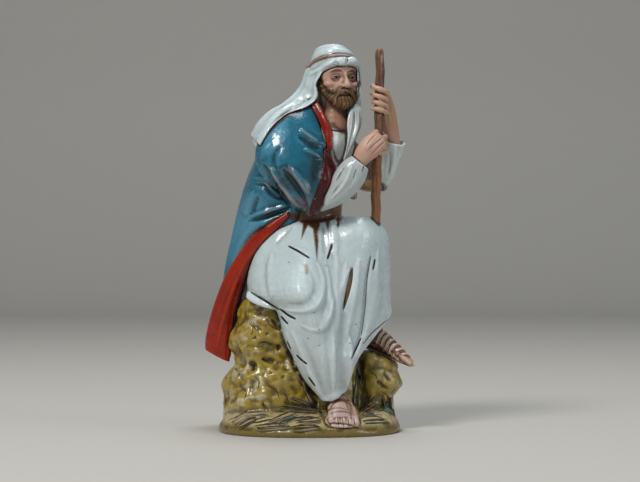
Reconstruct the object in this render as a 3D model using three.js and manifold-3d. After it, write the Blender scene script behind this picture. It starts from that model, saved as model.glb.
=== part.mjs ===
// A moulded and painted crib figure: an old shepherd in a head-cloth and cloak, seated on a rock
// and holding a staff. Figure, rocks and plinth are one casting, so the model is one solid.
// Millimetres, +Z up. The origin is under the middle of the plinth, and the figure is seen from -Y.

import * as THREE from "three";
import { LoftGeometry } from "three/addons/geometries/LoftGeometry.js";
import { mergeVertices } from "three/addons/utils/BufferGeometryUtils.js";
import Module from "manifold-3d";

// Driving sizes
const FIGURE_HEIGHT = 100; // underside of the plinth to the crown of the head-cloth
const PLINTH_LENGTH = 47.4;
const PLINTH_DEPTH = 45;
const PLINTH_HEIGHT = 6.2; // underside to the ground that the rocks and the right foot stand on
const PLINTH_RIM = 2.2; // height of the upright edge round the plinth
const STAFF_DIAMETER = 2.5;
const SOLE_THICKNESS = 1;
const BAND_DIAMETER = 1.3; // the cord that holds the head-cloth

// Free forms are in hundredths of the figure's height. Their heights count from the underside of a
// plinth of this share, and a thicker plinth lifts them all.
const UNIT = FIGURE_HEIGHT / 100;
const GROUND_SHARE = 6.2;
const LIFT = PLINTH_HEIGHT - GROUND_SHARE * UNIT;

const wasm = await Module();
wasm.setup();

const degrees = (angle) => (angle * Math.PI) / 180;
const place = (x, y, z) => new THREE.Vector3(x * UNIT, y * UNIT, z * UNIT + LIFT);

// One row of numbers at distance s along the stations, on a Catmull-Rom curve through every column.
function stationAt(stations, s) {
  const last = stations.length - 1;
  const i = Math.min(Math.floor(s), last - 1);
  const t = s - i;
  const row = (k) => stations[Math.max(0, Math.min(last, k))];
  return stations[0].map((_, c) => {
    const [p0, p1, p2, p3] = [row(i - 1)[c], row(i)[c], row(i + 1)[c], row(i + 2)[c]];
    const slopeIn = (p2 - p0) / 2;
    const slopeOut = (p3 - p1) / 2;
    const a = 2 * p1 - 2 * p2 + slopeIn + slopeOut;
    const b = -3 * p1 + 3 * p2 - 2 * slopeIn - slopeOut;
    return ((a * t + b) * t + slopeIn) * t + p1;
  });
}

// A skin over elliptical sections. A level form has horizontal sections, and its rows are
// x, y, z, half-width a, half-width b, turn about Z in degrees and the tilts dz/dx and dz/dy.
// A limb has sections square to its path, with a measured along the side direction.
// fold(angle, share, point) moves the skin outwards, and each end may have a dome.
function skin(stations, options = {}) {
  const { level = false, side = [1, 0, 0], around = 8, steps = 2, domes = [1, 1] } = options;
  const { fold = () => 0, corner = 2, bend = 0 } = options;
  const rows = stations.map((row) => [...row, ...new Array(8 - row.length).fill(0)]);
  const last = rows.length - 1;
  const reference = new THREE.Vector3(...side);

  function ring(s, scale, push) {
    const [x, y, z, a, b, turn, tiltX, tiltY] = stationAt(rows, s);
    const centre = place(x, y, z);
    const before = stationAt(rows, Math.max(0, s - 0.05));
    const after = stationAt(rows, Math.min(last, s + 0.05));
    const ahead = place(...after.slice(0, 3)).sub(place(...before.slice(0, 3))).normalize();
    let u, v;
    if (level) {
      const c = Math.cos(degrees(turn));
      const d = Math.sin(degrees(turn));
      u = new THREE.Vector3(c, d, c * tiltX + d * tiltY);
      v = new THREE.Vector3(-d, c, -d * tiltX + c * tiltY);
      if (ahead.z < 0) v.negate();
    } else {
      u = reference.clone().addScaledVector(ahead, -reference.dot(ahead)).normalize();
      v = new THREE.Vector3().crossVectors(ahead, u);
    }
    centre.addScaledVector(ahead, push * Math.min(a, b) * UNIT);
    const points = [];
    for (let j = 0; j < around; j++) {
      const angle = (j / around) * 2 * Math.PI;
      const c = Math.cos(angle);
      const d = Math.sin(angle);
      const round = (Math.abs(c) ** corner + Math.abs(d) ** corner) ** (-1 / corner);
      const out = new THREE.Vector3().addScaledVector(u, a * c * round * UNIT);
      out.addScaledVector(v, (b * d - bend * a * c * c) * round * UNIT).multiplyScalar(scale);
      const point = centre.clone().add(out);
      const depth = fold((angle * 180) / Math.PI, s / last, point) * UNIT * scale;
      points.push(point.addScaledVector(out.normalize(), depth));
    }
    return points;
  }

  const rings = [];
  const domeAngles = around > 12 ? [70, 35] : [50];
  if (domes[0]) {
    for (const e of domeAngles) {
      rings.push(ring(0, Math.cos(degrees(e)), -Math.sin(degrees(e)) * domes[0]));
    }
  }
  for (let i = 0; i <= last * steps; i++) rings.push(ring(i / steps, 1, 0));
  if (domes[1]) {
    for (const e of [...domeAngles].reverse()) {
      rings.push(ring(last, Math.cos(degrees(e)), Math.sin(degrees(e)) * domes[1]));
    }
  }
  return solid(new LoftGeometry(rings, { capStart: true, capEnd: true }));
}

// A three.js geometry as a solid that can be joined and cut.
function solid(geometry) {
  const plain = new THREE.BufferGeometry();
  plain.setAttribute("position", geometry.getAttribute("position"));
  plain.setIndex(geometry.index);
  const merged = mergeVertices(plain, 1e-5);
  const faces = new Uint32Array(merged.index.array);
  const mesh = { numProp: 3, vertProperties: merged.attributes.position.array, triVerts: faces };
  const made = new wasm.Manifold(new wasm.Mesh(mesh));
  if (made.volume() > 0) return made;
  for (let i = 0; i < faces.length; i += 3) {
    [faces[i + 1], faces[i + 2]] = [faces[i + 2], faces[i + 1]];
  }
  return new wasm.Manifold(new wasm.Mesh(mesh));
}

// Cloth over more than one limb: closed rings of named points, smooth along and across.
function drape(rings, options = {}) {
  const { perSpan = 3, steps = 2, fold = () => 0 } = options;
  const count = rings[0].length;
  const columns = rings[0].map((_, j) => rings.map((ring) => ring[j]));
  const sections = [];
  for (let i = 0; i <= (rings.length - 1) * steps; i++) {
    const corners = columns.map((column) => stationAt(column, i / steps));
    const closed = [corners[count - 1], ...corners, corners[0], corners[1]];
    const section = [];
    for (let j = 0; j < count * perSpan; j++) section.push(place(...stationAt(closed, 1 + j / perSpan)));
    const middle = section.reduce((sum, p) => sum.add(p), new THREE.Vector3()).divideScalar(section.length);
    const share = i / (rings.length - 1) / steps;
    section.forEach((point, j) => {
      const out = point.clone().sub(middle).setZ(0).normalize();
      point.addScaledVector(out, fold((j / section.length) * 360, share, point) * UNIT);
    });
    sections.push(section);
  }
  return solid(new LoftGeometry(sections, { capStart: true, capEnd: true }));
}

const join = (solids) => solids.reduce((whole, one) => whole.add(one));

// An egg with its own radii, turned about Z.
function egg(x, y, z, a, b, c, turn = 0, options = {}) {
  const sphere = new THREE.SphereGeometry(1, options.around ?? 8, options.rings ?? 6);
  sphere.rotateX(Math.PI / 2).scale(a * UNIT, b * UNIT, c * UNIT).rotateZ(degrees(turn));
  const centre = place(x, y, z);
  sphere.translate(centre.x, centre.y, centre.z);
  return solid(sphere);
}

// Soft lumps for stone and hair: the same three waves at any size.
function lumps(point, size, depth) {
  const [x, y, z] = [point.x / size, point.y / size, point.z / size];
  const wave = Math.sin(x + 1.7 * Math.sin(z)) + Math.sin(1.3 * y + 1.1 * Math.sin(1.6 * x));
  return (depth * (wave + Math.sin(1.9 * z + 0.9 * y))) / 3;
}

// Drapery: ridges that run along a form, count of them round it, slanting by slant turns.
const pleats = (angle, share, count, depth, slant = 0) =>
  depth * Math.sin(degrees(angle * count + share * slant * 360));

// The plinth: a full oval slab with an upright rim and a top of bare ground, which falls towards
// the front. Each row of the profile is a height, its shares of length and depth, and how far
// back of the middle it lies.
const PLINTH_FULLNESS = 2.5; // 2 is an ellipse, more is squarer
function plinth() {
  const rise = PLINTH_HEIGHT - PLINTH_RIM;
  const profile = [
    [0, 0.985, 0.985, 0],
    [PLINTH_RIM / 3, 1, 1, 0],
    [PLINTH_RIM, 0.985, 0.985, 0],
    [PLINTH_RIM + rise * 0.25, 0.94, 0.88, 1.1],
    [PLINTH_RIM + rise * 0.6, 0.88, 0.78, 2.2],
    [PLINTH_HEIGHT, 0.77, 0.62, 3],
  ];
  const count = 26;
  const rings = profile.map(([z, alongShare, acrossShare, back]) => {
    const points = [];
    for (let j = 0; j < count; j++) {
      const angle = (j / count) * 2 * Math.PI;
      const [c, s] = [Math.cos(angle), Math.sin(angle)];
      const full = Math.abs(c) ** PLINTH_FULLNESS + Math.abs(s) ** PLINTH_FULLNESS;
      const reach = 0.5 / full ** (1 / PLINTH_FULLNESS);
      const x = PLINTH_LENGTH * alongShare * reach * c;
      points.push(new THREE.Vector3(x, PLINTH_DEPTH * acrossShare * reach * s + back, z));
    }
    return points;
  });
  return solid(new LoftGeometry(rings, { capStart: true, capEnd: true }));
}

// The rock that he sits on: two boulders with a waist between them.
function seatRock() {
  const stations = [
    [-9, 2, 2.5, 13, 13],
    [-9.3, 2, 8, 13.2, 13.2],
    [-9.3, 2.2, 13.5, 12.8, 12.8],
    [-9, 2.6, 17.6, 10.8, 11.2],
    [-9, 3, 22.5, 11.6, 11.8],
    [-9, 3, 28, 11.2, 11.6],
    [-9, 3, 33, 9.6, 10.2],
  ];
  const fold = (angle, share, point) => lumps(point, 3 * UNIT, 1);
  return skin(stations, { level: true, around: 12, steps: 2, domes: [0, 0.3], fold, corner: 2.4 });
}

// The smaller rock under his left foot, and the bank of ground between the two rocks.
function footRock() {
  const stations = [
    [16.2, 1.8, 3, 6, 8],
    [16, 1.6, 8, 5, 6.8, 0, -0.05],
    [17.8, 1.3, 13, 6.4, 7, 0, -0.15],
    [17.2, 1, 18.2, 5.8, 6, 0, -0.3],
  ];
  const bank = [
    [7.6, 1, 4, 10, 11],
    [7.6, 1, 9, 8, 9.5],
    [7.4, 1, 15, 7, 8],
    [7, 1, 21, 6, 6.5],
    [6, 1, 26, 5, 5],
  ];
  const fold = (angle, share, point) => lumps(point, 2.2 * UNIT, 0.6);
  const options = { level: true, around: 12, domes: [0, 0.4], fold };
  const rock = skin(stations, { ...options, steps: 2 });
  return join([rock, skin(bank, { ...options, around: 8, steps: 1 })]);
}

// The white tunic as one cloth over lap, knees and shins. Each ring starts at the edge over the
// right shin and goes by the right knee, the valley, the left knee, the far side and the back.
function tunicSkirt() {
  const hem = [
    [3.2, -16.4, 8.9], [5.4, -18.2, 8.7], [8, -17.6, 9.9], [9.4, -15.6, 11.4], [9, -13.4, 12],
    [7.6, -12, 12], [6, -11.6, 11.6], [4.4, -12.4, 10.6], [3.2, -14.2, 9.6],
  ];
  const ankle = [
    [0.8, -17.5, 14.2], [4.2, -20.2, 14], [8, -19.2, 14.4], [10.4, -16, 15], [10.2, -12.6, 15],
    [8.2, -10.4, 15], [5.4, -9.6, 15], [2.4, -10.8, 14.6], [0.6, -14, 14.2],
  ];
  const shin = [
    [-2.4, -17.6, 20], [2.4, -22, 20], [8, -20, 20], [12.4, -15, 19.6], [12.6, -10.6, 20],
    [10, -7.6, 20], [6, -6.6, 20], [1, -8, 20], [-2.4, -12.6, 20],
  ];
  const leftHem = [
    [-4.6, -17.6, 24.6], [1.2, -23, 25], [8, -18.5, 24.5], [14, -12.4, 23], [20.6, -2, 29.2],
    [17.6, 3, 28], [8, 0, 26], [0, -3, 25], [-4.6, -10, 24.6],
  ];
  const calves = [
    [-7.6, -17, 31.8], [-0.4, -24.6, 32], [8, -17.4, 32], [14.2, -12.6, 32], [20.9, -4, 33],
    [17.6, 4, 32], [6, 5, 32], [-4, 2, 32], [-8.6, -8, 32.4],
  ];
  const knee = [
    [-11.4, -14.5, 37], [-2.6, -25.2, 38], [7, -17, 38], [14.3, -13, 38], [20.9, -4.4, 38],
    [17, 4, 38], [5, 8, 38], [-8, 10, 37], [-16, 0, 37],
  ];
  const rise = [
    [-7.6, -9.6, 49.4], [-1.5, -14.6, 49.4], [5.5, -13.4, 49.4], [14, -13, 49.4],
    [20.6, -5.6, 49.4], [15, 1.5, 49.4], [6, 7, 49.4], [-4, 9, 49.4], [-10.5, 0, 49.4],
  ];
  const lap = [
    [-3, -8.6, 53.6], [2, -10.6, 53.6], [8, -11, 53.6], [14, -11.6, 53.6], [18.8, -6, 53.6],
    [14, -0.5, 53.6], [7, 3, 53.6], [0, 5, 53.6], [-5, 0, 53.6],
  ];
  const lapTop = [
    [2, -5.5, 55.6], [6, -7.4, 55.6], [10, -8.4, 55.6], [14, -9, 55.6], [16.8, -6, 55.6],
    [13.5, -2.5, 55.6], [9, -0.5, 55.6], [5, -0.5, 55.6], [2, -2.5, 55.6],
  ];
  const rings = [hem, ankle, shin, leftHem, calves, knee, rise, lap, lapTop];
  const fold = (angle, share) => pleats(angle, share, 7, 0.45 * (1 - share), 0.12);
  const tuckedUnder = egg(-12.2, -5, 33.2, 4.8, 4.6, 1.6, 0, { rings: 4 });
  return join([drape(rings, { fold }), tuckedUnder]);
}

// The tunic's body, which shows at the chest and at the waist.
function tunicBody() {
  const stations = [
    [1, -1, 53, 7, 7.4, -32],
    [2, -2, 60, 6.6, 7.2, -32],
    [2.6, -3, 67, 6.6, 8, -32],
    [4.2, -4.8, 74, 7, 8.4, -32],
    [5.2, -5.4, 79, 4.9, 5.6, -32],
  ];
  return skin(stations, { level: true, around: 12, steps: 1, domes: [0, 0.4] });
}

// The cloak: over both shoulders, down the back and flared out behind the rock.
function cloak() {
  const back = skin(
    [
      [-12, 8.2, 19.8, 15, 9.4, -6, -0.08, -0.05],
      [-11.2, 7.4, 28, 14.2, 9.8, -8],
      [-10.6, 6.2, 36, 13, 10.4, -10],
      [-10, 5, 44, 12, 11, -14],
      [-8.6, 3.4, 52, 11.2, 11.8, -20],
      [-6.6, 2, 60, 11, 12.4, -26],
      [-4.2, 0.6, 68, 10.2, 13, -32],
      [-1.6, -1, 75.5, 8.6, 12.8, -32],
      [0.2, -1.6, 80.5, 6, 10, -32],
    ],
    {
      level: true,
      around: 20,
      steps: 1,
      domes: [0, 0.5],
      fold: (angle, share) => pleats(angle, share, 7, 0.8 * (1 - share) ** 1.5, 0.2),
    },
  );
  const mantle = skin(
    [
      [-0.8, -6.2, 81.6, 4.8, 4.6],
      [-3.4, -8.4, 77, 8.2, 6.4],
      [-4.4, -10.6, 71.4, 9.9, 6.8],
      [-1.2, -13.2, 65.6, 7.7, 5.4],
      [-0.3, -14.6, 61, 4.9, 4.2],
      [0.8, -15.6, 57.4, 1.8, 2.2],
    ],
    { around: 12, fold: (angle, share) => pleats(angle, share, 3, 0.3, 0.35) },
  );
  return join([back, mantle]);
}

// The cloak's red lining where its front edge is turned out, from the waist down to the hem,
// and where the mantle opens at the elbow and at the neck.
function lining() {
  const turnedEdge = skin(
    [
      [-5.6, -8.8, 56, 0.7, 0.8],
      [-11.3, -7.4, 51.4, 1.9, 1.8],
      [-15.5, -5.2, 46.4, 2.2, 2],
      [-19.4, -2.2, 39.4, 2.8, 2.2],
      [-22.3, 0.6, 30.8, 3.4, 2.4],
      [-24, 2.8, 22.6, 4, 2.4],
      [-22.5, 3.4, 19.4, 2.4, 1.8],
    ],
    { side: [0.85, -0.5, 0], around: 8, steps: 1, domes: [1, 0.3] },
  );
  const elbowEdge = skin(
    [
      [5.4, -14.4, 67.4, 1.2, 2],
      [4.8, -15.2, 63.6, 1.9, 2.4],
      [3, -15.8, 60, 1.7, 2],
      [1.6, -16, 57, 1.1, 1.4],
    ],
    { around: 6, steps: 1 },
  );
  const neckEdge = skin(
    [
      [1, -5.6, 83.6, 0.9, 1.4],
      [3, -9.4, 80.4, 1.1, 1.4],
      [4.4, -11, 76, 1.2, 1.4],
      [4.9, -11.8, 72, 0.9, 1.4],
    ],
    { around: 6, steps: 1 },
  );
  return join([turnedEdge, elbowEdge, neckEdge]);
}

// The arms: right sleeve, left sleeve, and the cloak over the left upper arm.
function sleeves() {
  const right = skin(
    [
      [2.6, -14.2, 57.8, 2.4, 2.2],
      [5.6, -14.8, 60.6, 3.8, 3.1],
      [9.2, -15.2, 64.4, 4, 3.1],
      [12.6, -15.5, 68.2, 3.3, 2.7],
    ],
    { side: [-0.7, 0, 0.7], around: 9, domes: [1, 0] },
  );
  const left = skin(
    [
      [19.2, -2, 63.4, 1.2, 1.4],
      [19.8, -3.6, 67, 2.3, 2.4],
      [20.7, -5.6, 71.6, 3, 2.8],
      [21.7, -7, 75.2, 3.3, 2.9],
    ],
    { side: [1, 0, 0.25], steps: 1, domes: [1, 0] },
  );
  const leftUpperArm = skin(
    [
      [6, 3.5, 75, 4, 5],
      [10.4, 1.6, 70.6, 4, 4.6],
      [15, -0.8, 66.2, 3.8, 4.2],
      [18.6, -2.2, 64.4, 2, 2.4],
    ],
    { side: [0, 1, 0], around: 8, steps: 1 },
  );
  const droop = skin(
    [
      [8.2, -4, 66, 2.6, 2.4],
      [10.4, -4.6, 62.6, 2, 1.4],
      [11.6, -5, 60.6, 0.9, 0.7],
    ],
    { around: 6, steps: 1 },
  );
  return join([right, left, leftUpperArm, droop]);
}

// The staff, upright and a little crooked, from the left knee to above the left hand.
const STAFF_TOP = 98.6;
const STAFF_LINE = [
  [17.1, -7.4, 53.6],
  [17.2, -10.8, 66],
  [17.6, -12.6, 76],
  [17.95, -13, 88],
  [18, -13, STAFF_TOP - 1.2],
];
function staffAt(z) {
  const i = Math.max(0, STAFF_LINE.findIndex((p) => p[2] >= z) - 1);
  const [low, high] = [STAFF_LINE[i], STAFF_LINE[i + 1]];
  const t = (z - low[2]) / (high[2] - low[2]);
  return low.map((value, k) => value + (high[k] - value) * t);
}
const STAFF_RADIUS = STAFF_DIAMETER / 2 / UNIT;
function staff() {
  const widths = [1.04, 1.1, 1.04, 1.02, 0.92];
  const stations = STAFF_LINE.map((point, i) => [
    ...point,
    STAFF_RADIUS * widths[i],
    STAFF_RADIUS * widths[i],
  ]);
  return skin(stations, { around: 8, steps: 1, domes: [0.2, 1] });
}

// A finger bent round the staff at height z, from angle start to angle end, seen from above.
const FINGER_RADIUS = 0.8;
function finger(z, start, end, drop) {
  const stations = [];
  const count = 2;
  for (let i = 0; i <= count; i++) {
    const t = i / count;
    const [x, y] = staffAt(z);
    const angle = degrees(start + (end - start) * t);
    const reach = STAFF_RADIUS + FINGER_RADIUS * 0.7;
    const radius = FINGER_RADIUS * (1 - 0.18 * t);
    const at = [x + reach * Math.cos(angle), y + reach * Math.sin(angle), z - drop * t];
    stations.push([...at, radius, radius]);
  }
  return skin(stations, { side: [0, 0, 1], around: 5, steps: 1, domes: [0, 1] });
}

// The upper hand comes from the right and closes across the front of the staff.
function leftHand() {
  const palm = skin(
    [
      [21.6, -6.6, 74.6, 1.8, 1.6],
      [20.3, -8.4, 78.6, 2.4, 1.6],
      [19.7, -10, 82.4, 2.3, 1.7],
      [18.8, -11.6, 86.2, 2, 1.6],
    ],
    { side: [0.8, 0.6, 0], around: 8, steps: 1 },
  );
  const heights = [88.3, 86.6, 84.9, 83.2];
  const fingers = heights.map((z, i) => finger(z, -15, -170 + i * 8, -0.5 + 0.35 * i));
  const thumb = skin(
    [
      [19.6, -10.4, 83.6, 0.9, 0.9],
      [18, -11, 85.8, 0.8, 0.8],
      [16.4, -11.4, 87, 0.7, 0.7],
    ],
    { around: 6, steps: 1 },
  );
  return join([palm, thumb, ...fingers]);
}

// The lower hand lies over the staff with its back to the front, its fingers going behind.
function rightHand() {
  const palm = skin(
    [
      [11.6, -15.4, 67.6, 2.2, 1.9],
      [13.8, -15.8, 69.8, 2.9, 2],
      [16.4, -15.7, 72.2, 3.5, 2],
      [18.4, -15, 73.6, 3.1, 1.6],
    ],
    { side: [-0.7, 0, 0.7], around: 10, steps: 1 },
  );
  const heights = [76.1, 74.4, 72.7, 71];
  const fingers = heights.map((z, i) => finger(z, -60, 80 - i * 8, 0.4));
  const thumb = skin(
    [
      [14.6, -15.6, 73.2, 1, 1],
      [15.8, -15.6, 75.6, 0.95, 0.95],
      [17.2, -15.2, 77, 0.8, 0.8],
    ],
    { around: 6, steps: 1 },
  );
  return join([palm, thumb, ...fingers]);
}

// The head, in its own frame: x to his left, y to the back, z up, from the middle of the skull.
const HEAD = { centre: [7, -6, 91.6], turn: 22 };
function headPoint(x, y, z) {
  const c = Math.cos(degrees(HEAD.turn));
  const s = Math.sin(degrees(HEAD.turn));
  const [cx, cy, cz] = HEAD.centre;
  return [cx + c * x - s * y, cy + s * x + c * y, cz + z];
}
const headEgg = (x, y, z, a, b, c, options) =>
  egg(...headPoint(x, y, z), a, b, c, HEAD.turn, options);
// Level sections in the head's frame, each with a fall towards the nape.
function headForm(stations, options) {
  const s = Math.sin(degrees(HEAD.turn));
  const c = Math.cos(degrees(HEAD.turn));
  const rows = stations.map(([x, y, z, a, b, fall = 0]) => {
    return [...headPoint(x, y, z), a, b, HEAD.turn, fall * s, -fall * c];
  });
  return skin(rows, { level: true, steps: 1, ...options });
}

function head() {
  const skull = headForm(
    [
      [0, -3, -7, 2.4, 2.4],
      [-0.2, -2, -5, 3.9, 4.1],
      [-0.2, -0.9, -2.4, 5, 5.2],
      [-0.2, -0.2, 0.6, 5.5, 6],
      [-0.2, 0, 3.4, 5.3, 6.1],
      [0, 0.5, 6, 4, 5],
    ],
    { around: 14, domes: [0.5, 0.3] },
  );
  const coarse = { around: 8, rings: 4 };
  const brow = headEgg(0, -4.7, 1.5, 3.6, 1.4, 0.8, coarse);
  const nose = skin(
    [
      [...headPoint(0, -5.5, 1.4), 0.55, 0.5],
      [...headPoint(0, -6.3, -0.2), 0.7, 0.6],
      [...headPoint(0, -7, -1.7), 0.95, 0.8],
    ],
    { around: 6, steps: 1, domes: [1, 0.7] },
  );
  const cheeks = [-1, 1].map((sideways) => headEgg(2.4 * sideways, -3.7, -2, 2, 1.8, 1.9, coarse));
  const lips = headEgg(0, -5.7, -3.6, 1.5, 0.6, 0.45, coarse);
  const neck = skin(
    [
      [4.4, -3.6, 76, 3.6, 3.6],
      [5.6, -5, 81, 3.1, 3.1],
      [6.8, -6, 86, 3.2, 3.2],
    ],
    { steps: 1 },
  );
  return join([skull, brow, nose, ...cheeks, lips, neck]);
}

function beard() {
  const chin = headEgg(0, -4.6, -6.2, 2.6, 2, 2.3, { rings: 5 });
  const whiskers = [-1, 1].map((sideways) =>
    skin(
      [
        [...headPoint(1.4 * sideways, -4.4, -6.4), 1.4, 1.4],
        [...headPoint(3.1 * sideways, -3.4, -5), 1.2, 1.4],
        [...headPoint(4.2 * sideways, -1.8, -2.6), 0.9, 1.2],
        [...headPoint(4.6 * sideways, -1.2, 0), 0.7, 1],
      ],
      { around: 5, steps: 1 },
    ),
  );
  return join([chin, ...whiskers]);
}

// The head-cloth: a hood held by a cord, a roll of cloth on the brow, the folds beside the face,
// the long end on the chest and the wide end that spreads over the back.
function headCloth() {
  const cord = BAND_DIAMETER / 2 / UNIT;
  const hood = headForm(
    [
      [1.4, 2, -12, 4.4, 3.4],
      [0, 3.4, -6, 5.8, 4.4],
      [0, 3, -1.6, 6.2, 4.9],
      [-0.5, 1.4, 1.6, 6.2, 6.3, 0.1],
      [-0.8, 0.8, 3.1, 5.7, 6.5, 0.25],
      [-0.8, 0.8, 3.5, 5.7 + cord, 6.5 + cord, 0.27],
      [-0.8, 0.8, 3.5 + cord * 1.6, 5.5 + cord, 6.3 + cord, 0.27],
      [-0.8, 0.8, 4 + cord * 1.6, 5.2, 6, 0.27],
      [-0.7, 0.8, 6.7, 4.1, 4.8, 0.15],
    ],
    { around: 14, domes: [0, 0.38] },
  );
  const roll = skin(
    [
      [...headPoint(-5.4, -1.6, 3), 0.9, 0.9],
      [...headPoint(-4.4, -4.4, 4), 1.1, 1],
      [...headPoint(-1.6, -6.2, 4.5), 1.1, 1.1],
      [...headPoint(1.6, -6.2, 4.5), 1.1, 1.1],
      [...headPoint(4.4, -4.4, 3.9), 1.1, 1],
      [...headPoint(5.6, -1.6, 2.4), 1, 0.9],
    ],
    { side: [0, 0, 1], around: 5, steps: 1 },
  );
  const besideFace = [-1.14, 1].map((sideways) =>
    skin(
      [
        [...headPoint(4.6 * sideways, -3.4, 4), 0.9, 1.1],
        [...headPoint(5.7 * sideways, -2.2, 0.6), 0.9, 1.3],
        [...headPoint(5.8 * sideways, -1.6, -3.6), 0.9, 1.4],
        [...headPoint(5.1 * sideways, -1.4, -7.4), 1, 1.6],
      ],
      { around: 6, steps: 1 },
    ),
  );
  const chestEnd = skin(
    [
      [12, -6.6, 88, 1.2, 1.4],
      [12, -8, 82, 1.6, 1.2],
      [11.5, -9.4, 77, 1.9, 1.1],
      [9.9, -10.8, 72.4, 1.5, 1],
      [8, -11.4, 68.6, 0.8, 0.8],
    ],
    { around: 6, steps: 1 },
  );
  const backEnd = skin(
    [
      [-5.9, 2, 74.6, 8, 8.9, -32, 0.1],
      [-6.3, 2, 76.8, 8.3, 9.2, -32, 0.1],
      [-5, 2.2, 80, 8.2, 8.8, -32, 0.1],
      [-3.9, 2, 82.4, 7.4, 8.2, -32, 0.1],
      [-1.8, 1.6, 84.1, 6, 7.4, -32],
      [-0.2, 1, 86, 5.2, 6.6, -32],
      [1.6, 0, 89, 4.8, 5.6, -16],
      [3.8, -1.4, 92, 4.6, 4.8, 0],
    ],
    {
      level: true,
      around: 14,
      steps: 1,
      domes: [0, 0.5],
      fold: (angle, share) => pleats(angle, share, 5, 0.35 * (1 - share)),
    },
  );
  return join([hood, roll, ...besideFace, chestEnd, backEnd]);
}

// A foot in a sandal, from heel to toes: sole, foot and five toes.
function foot({ heel, toe, across, width, rise, ankle, toes }) {
  const [h, t] = [new THREE.Vector3(...heel), new THREE.Vector3(...toe)];
  const side = new THREE.Vector3(...across).normalize();
  const forward = t.clone().sub(h).normalize();
  const up = new THREE.Vector3().crossVectors(side, forward);
  if (up.z < 0) up.negate();
  const along = (share, sideways, lift) =>
    h.clone().lerp(t, share).addScaledVector(side, sideways).addScaledVector(up, lift).toArray();
  const soleHalf = SOLE_THICKNESS / 2 / UNIT;
  const sole = skin(
    [
      [...along(0.03, 0, 0), width * 0.62, soleHalf],
      [...along(0.35, 0, 0), width * 0.72, soleHalf],
      [...along(0.75, 0, 0), width * 1.1, soleHalf],
      [...along(0.98, 0, 0), width * 0.88, soleHalf],
    ],
    { side: across, steps: 1, domes: [1.5, 2], corner: 3 },
  );
  const upper = skin(
    [
      [...along(0.08, 0, rise * 0.45), width * 0.5, rise * 0.5],
      [...along(0.34, 0, rise * 0.5), width * 0.62, rise * 0.6],
      [...along(0.62, 0, rise * 0.34), width * 0.84, rise * 0.42],
      [...along(0.84, 0, rise * 0.22), width * 0.88, rise * 0.28],
    ],
    { side: across, steps: 1, domes: [1, 0] },
  );
  const toeForms = toes.map((size, i) => {
    const sideways = width * (0.74 - 0.37 * i);
    const stations = [
      [...along(0.8, sideways, size * 0.8), size, size * 0.85],
      [...along(1.01 - 0.03 * i, sideways, size * 0.7), size, size * 0.9],
    ];
    return skin(stations, { side: across, around: 5, steps: 1, domes: [0, 1] });
  });
  const shin = skin([[...along(0.2, 0, rise * 0.5), 2, 2], [...ankle, 2, 2]], { around: 6, steps: 1, domes: [0, 0] });
  return join([sole, upper, shin, ...toeForms]);
}
const rightFoot = () =>
  foot({
    heel: [6.6, -8.6, 6.8], toe: [8.1, -20.4, 2.8], across: [0.99, 0.14, 0], width: 4.5, rise: 6,
    ankle: [6, -12, 13], toes: [1.2, 1, 0.98, 0.96, 1],
  });
const leftFoot = () =>
  foot({
    heel: [13.8, 3.6, 22], toe: [26.6, -3, 16.7], across: [-0.45, -0.89, 0], width: 3, rise: 5,
    ankle: [17.4, 1.4, 30], toes: [0.9, 0.7, 0.65, 0.6, 0.55],
  });

// Tufts of long grass that fan out over the ground from beside the right foot.
function grass() {
  const blades = [];
  const fans = [
    { root: [2.6, -13.4, 4.9], from: 160, to: 200, count: 3, reach: 15, rise: 0.1 },
    { root: [13.4, -13, 3.9], from: -20, to: 30, count: 2, reach: 8, rise: 0 },
    { root: [12.4, -9.8, 4], from: 74, to: 106, count: 2, reach: 4, rise: 11 },
  ];
  for (const { root, from, to, count, reach, rise } of fans) {
    for (let i = 0; i < count; i++) {
      const angle = degrees(from + ((to - from) * i) / (count - 1));
      const length = reach * (0.75 + 0.25 * Math.sin(i * 2.4));
      const at = (t) => [
        root[0] + length * t * Math.cos(angle),
        root[1] + length * t * Math.sin(angle) * 0.7,
        root[2] + rise * t + 0.6 * Math.sin(Math.PI * t),
      ];
      const stations = [[...at(0.05), 0.6, 0.8], [...at(0.55), 0.7, 0.9], [...at(1), 0.2, 0.5]];
      blades.push(skin(stations, { side: [0, 0, 1], around: 4, steps: 1, domes: [0, 0] }));
    }
  }
  return join(blades);
}

// Creases as they lie in the front view: lines of [x, z] along which the cloth is cut in.
const CREASES = [
  { depth: 0.9, width: 0.9, line: [[-15.4, 55], [-12.3, 56.3], [-8.2, 57.9], [-5.6, 58.8]] },
  { depth: 0.7, width: 0.8, line: [[10.9, 42.4], [10, 37], [8.6, 31.8]] },
  { depth: 0.5, width: 0.7, line: [[15.4, 45.7], [13.4, 26.6], [10.4, 19.4]] },
];

// The y of a solid's front face at x, z of the front view.
function frontFinder(manifold) {
  const { vertProperties: p, triVerts: t } = manifold.getMesh();
  return (x, z) => {
    let nearest = Infinity;
    for (let i = 0; i < t.length; i += 3) {
      const [a, b, c] = [3 * t[i], 3 * t[i + 1], 3 * t[i + 2]];
      const area = (p[b] - p[a]) * (p[c + 2] - p[a + 2]) - (p[c] - p[a]) * (p[b + 2] - p[a + 2]);
      const v = ((x - p[a]) * (p[c + 2] - p[a + 2]) - (p[c] - p[a]) * (z - p[a + 2])) / area;
      const w = ((p[b] - p[a]) * (z - p[a + 2]) - (x - p[a]) * (p[b + 2] - p[a + 2])) / area;
      if (v < 0 || w < 0 || v + w > 1) continue;
      nearest = Math.min(nearest, p[a + 1] + v * (p[b + 1] - p[a + 1]) + w * (p[c + 1] - p[a + 1]));
    }
    return nearest;
  };
}

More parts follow.
